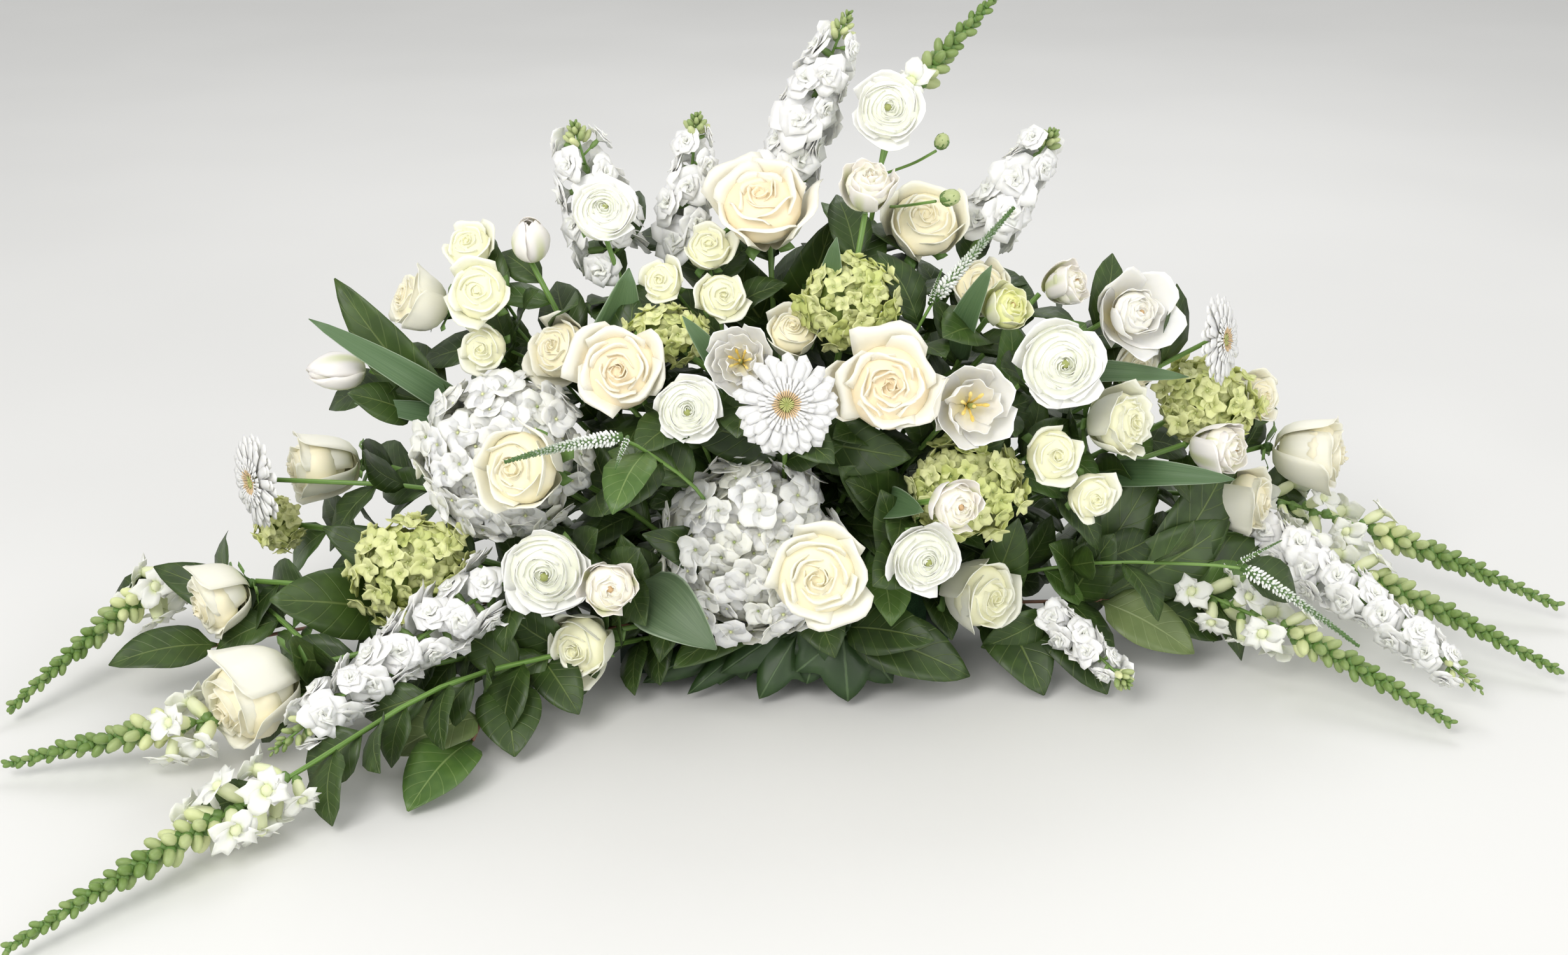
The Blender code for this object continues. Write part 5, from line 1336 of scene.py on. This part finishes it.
back = leafy(
    "salal_back", ((0, 4, 16), (0, 5, 28)), ((-2, 6.6, 12.5), (-16, 8.2, 9.5)), ((2.5, 6.6, 12), (15.5, 8.4, 8.5)),
    ((-1, 7, 9.5), (-11.5, 8.8, 5)), ((3, 7, 10), (12, 8.8, 5.4)), ((1, 6, 13.5), (0.5, 9, 8.6)),
).leaves(
    ("leaf", 0, 0.45, (3.6, 11, 14.6), 50, 175, 20), ("leaf", 0, 0.5, (-5.6, 10.6, 16.6), 50, 165, 20),
    ("leaf", 0, 0.6, (-4, 12, 20), 54, 175, 20), ("leaf", 0, 0.7, (5, 11.6, 21), 54, 185, 20),
    ("leaf", 0, 0.78, (-7.5, 9.4, 24), 50, 170, 20), ("leaf", 0, 0.82, (7.4, 9, 26.6), 50, 190, 20),
    ("leaf", 0, 0.95, (-7, 1.6, 39), 60, -10, 10), ("leaf", 0, 1, (4.2, 0.6, 40), 60, 16, 10),
    ("leaf", 0, 0.9, (-12, 9, 36), 54, 160, 10), ("leaf", 0, 0.9, (12, 9.4, 34), 54, 200, 10),
)
GARLANDS, GARLAND_ROWS, GARLAND_LEAVES = 5, 7, 36
for k in range(GARLAND_LEAVES):
    number, share = 1 + k % GARLANDS, 0.36 + 0.64 * (k // GARLANDS) / GARLAND_ROWS
    tip = along_path(back.paths[number], share)[0] / CM + CHANCE.uniform((-3.2, 2.6, -6.4), (3.2, 4.6, -3.4))
    tip[2] = max(tip[2], 1)
    turn, lift = 180 - 2.4 * tip[0] + CHANCE.uniform(-15, 15), CHANCE.uniform(10, 45)
    back.leaves(("young" if k % 7 == 3 else "leaf", number, share, tip, CHANCE.uniform(44, 58), turn, lift))

# %% [markdown]
# ## Foliage down the stems
#
# Between the blooms one sees dark leaves, hardly any bare stem, because a florist leaves the foliage on. So leaves
# are set down each stem, behind its bloom. Each looks out of the sheaf, low ones hang over the tray, and none
# stands in front of a bloom.

# %% Foliage
SHEAF_MIDDLE, FOLIAGE_TOP = np.array((0, 2 * CM, 4 * CM)), 37 * CM
LEAF_SPACING, FIRST_LEAF, LAST_LEAF, LEAF_LENGTHS = 24 * MM, 22 * MM, 45 * MM, (50 * MM, 80 * MM)
LEAF_TRIES, LOWEST_TIP = 6, 9 * MM
EYE = np.array(camera.location)
bloom_centres, bloom_sizes = np.array([b[0] for b in BLOOMS]), np.array([b[1] for b in BLOOMS])


def hides_bloom(points, margin):
    """Whether a leaf would cross a bloom, or stand between it and the eye, or nearly so."""
    far = np.linalg.norm(bloom_centres - EYE, axis=1)
    toward = (bloom_centres - EYE) / far[:, None]
    depth = (points - EYE) @ toward.T
    aside = np.linalg.norm((points - EYE)[:, None] - depth[:, :, None] * toward[None], axis=2) * far / depth
    crossing = np.linalg.norm(points[:, None] - bloom_centres[None], axis=2) < 0.8 * bloom_sizes
    return bool((((aside < 0.9 * bloom_sizes + margin) & (depth < far)) | crossing).any())


def foliage(plant, line):
    """Leaves along a stem, from just below its bloom down to the foam. Returns how many."""
    line = np.asarray(line)[::-1]
    steps = np.linalg.norm(np.diff(line, axis=0), axis=1)
    at, number, made = FIRST_LEAF, int(CHANCE.integers(0, 9)), 0
    while at < steps.sum() - LAST_LEAF:
        before = np.searchsorted(np.cumsum(steps), at)
        base = line[before] + (line[before + 1] - line[before]) * (at - steps[:before].sum()) / steps[before]
        ahead = unit(line[before] - line[before + 1])
        for _ in range(LEAF_TRIES):
            angle = GOLDEN * number
            number += 1
            out = turned(ahead) @ np.array((math.cos(angle), math.sin(angle), 0))
            look = unit(unit(base - SHEAF_MIDDLE) + (0, -0.5, 0.35))
            way = unit(out + 0.5 * ahead + 0.3 * look - (0, 0, 0.25))
            length = CHANCE.uniform(*LEAF_LENGTHS)
            tip = base + way * length
            tip[2] = max(tip[2], LOWEST_TIP)
            flat_enough = np.linalg.norm(np.cross(unit(tip - base), look)) > 0.3
            middle = bezier([base, tip], (0.3, 0.6, 1))
            if base[2] < FOLIAGE_TOP and flat_enough and not hides_bloom(middle, 0.16 * length):
                kind = "leaf" if CHANCE.uniform() < 0.88 else "young"
                blade(plant.growth, base, tip, length * CHANCE.uniform(0.5, 0.66), look, kind, sheet=LIGHT_BLADE)
                made += 1
                break
        at += LEAF_SPACING * CHANCE.uniform(0.8, 1.2)
    return made


count = 0
for node, plant in plants.items():
    if plant.slot != "dark_leaf":
        for line in plant.paths:
            count += foliage(plant, rounded(line))
print("leaves on stems:", count)

# %% Making the plants
total = 0
for node, plant in plants.items():
    for _, points, _, _, _, _ in plant.growth.patches:
        points[:, 2] = np.maximum(points[:, 2], LOWEST)
    total += make_piece(f"{node}_plant", plant.growth, node)
print("plants:", len(plants), "triangles:", total)

# %% [markdown]
# ## The foam, the tray and the floor
#
# The wet foam is dark green, with pores a millimetre wide that are painted darker as shade. The tray is dark green
# moulded plastic, slightly rough.
# Both stay as the solids are. The floor is pale and plain.

# %% Foam, tray and floor
FLOOR_SIZE = 24


def foam_paint():
    paint = Paint("wet_foam", 0.9)
    pores_and_shade, patches = paint.clouds(900.0, 3.0), paint.clouds(40.0)
    colour = paint.mix(patches.between(0.3, 0.7), (0.025, 0.085, 0.030), (0.050, 0.135, 0.050))
    # Painted shade: the pores are mixed towards a deeper green, standing for the shade inside the holes. The same
    # noise gives their bumps.
    return paint.finish(paint.mix(pores_and_shade.between(0.4, 0.6) * 0.5, colour, (0.012, 0.040, 0.015)), pores_and_shade, 0.8, 1 * MM)


def tray_paint():
    paint = Paint("tray_plastic", 0.42, coat=0.1)
    fine, patches = paint.clouds(1400.0), paint.clouds(18.0)
    colour = paint.mix(patches.between(0.3, 0.7), (0.012, 0.035, 0.018), (0.022, 0.055, 0.028))
    return paint.finish(colour, fine, 0.15, 0.2 * MM)


for node, paint in (("foam", foam_paint()), ("tray", tray_paint())):
    for place in bpy.data.objects[node].material_slots:
        place.material = paint

bpy.ops.object.select_all(action="DESELECT")
bpy.ops.mesh.primitive_plane_add(size=FLOOR_SIZE)
floor = bpy.context.object
floor.name = "floor"
ground = Paint("pale_floor", 0.6)
cloudy = ground.clouds(1.5)
ground.finish(ground.mix(cloudy.between(0.3, 0.7), (0.76, 0.76, 0.75), (0.79, 0.79, 0.78)))
floor.data.materials.append(ground.material)
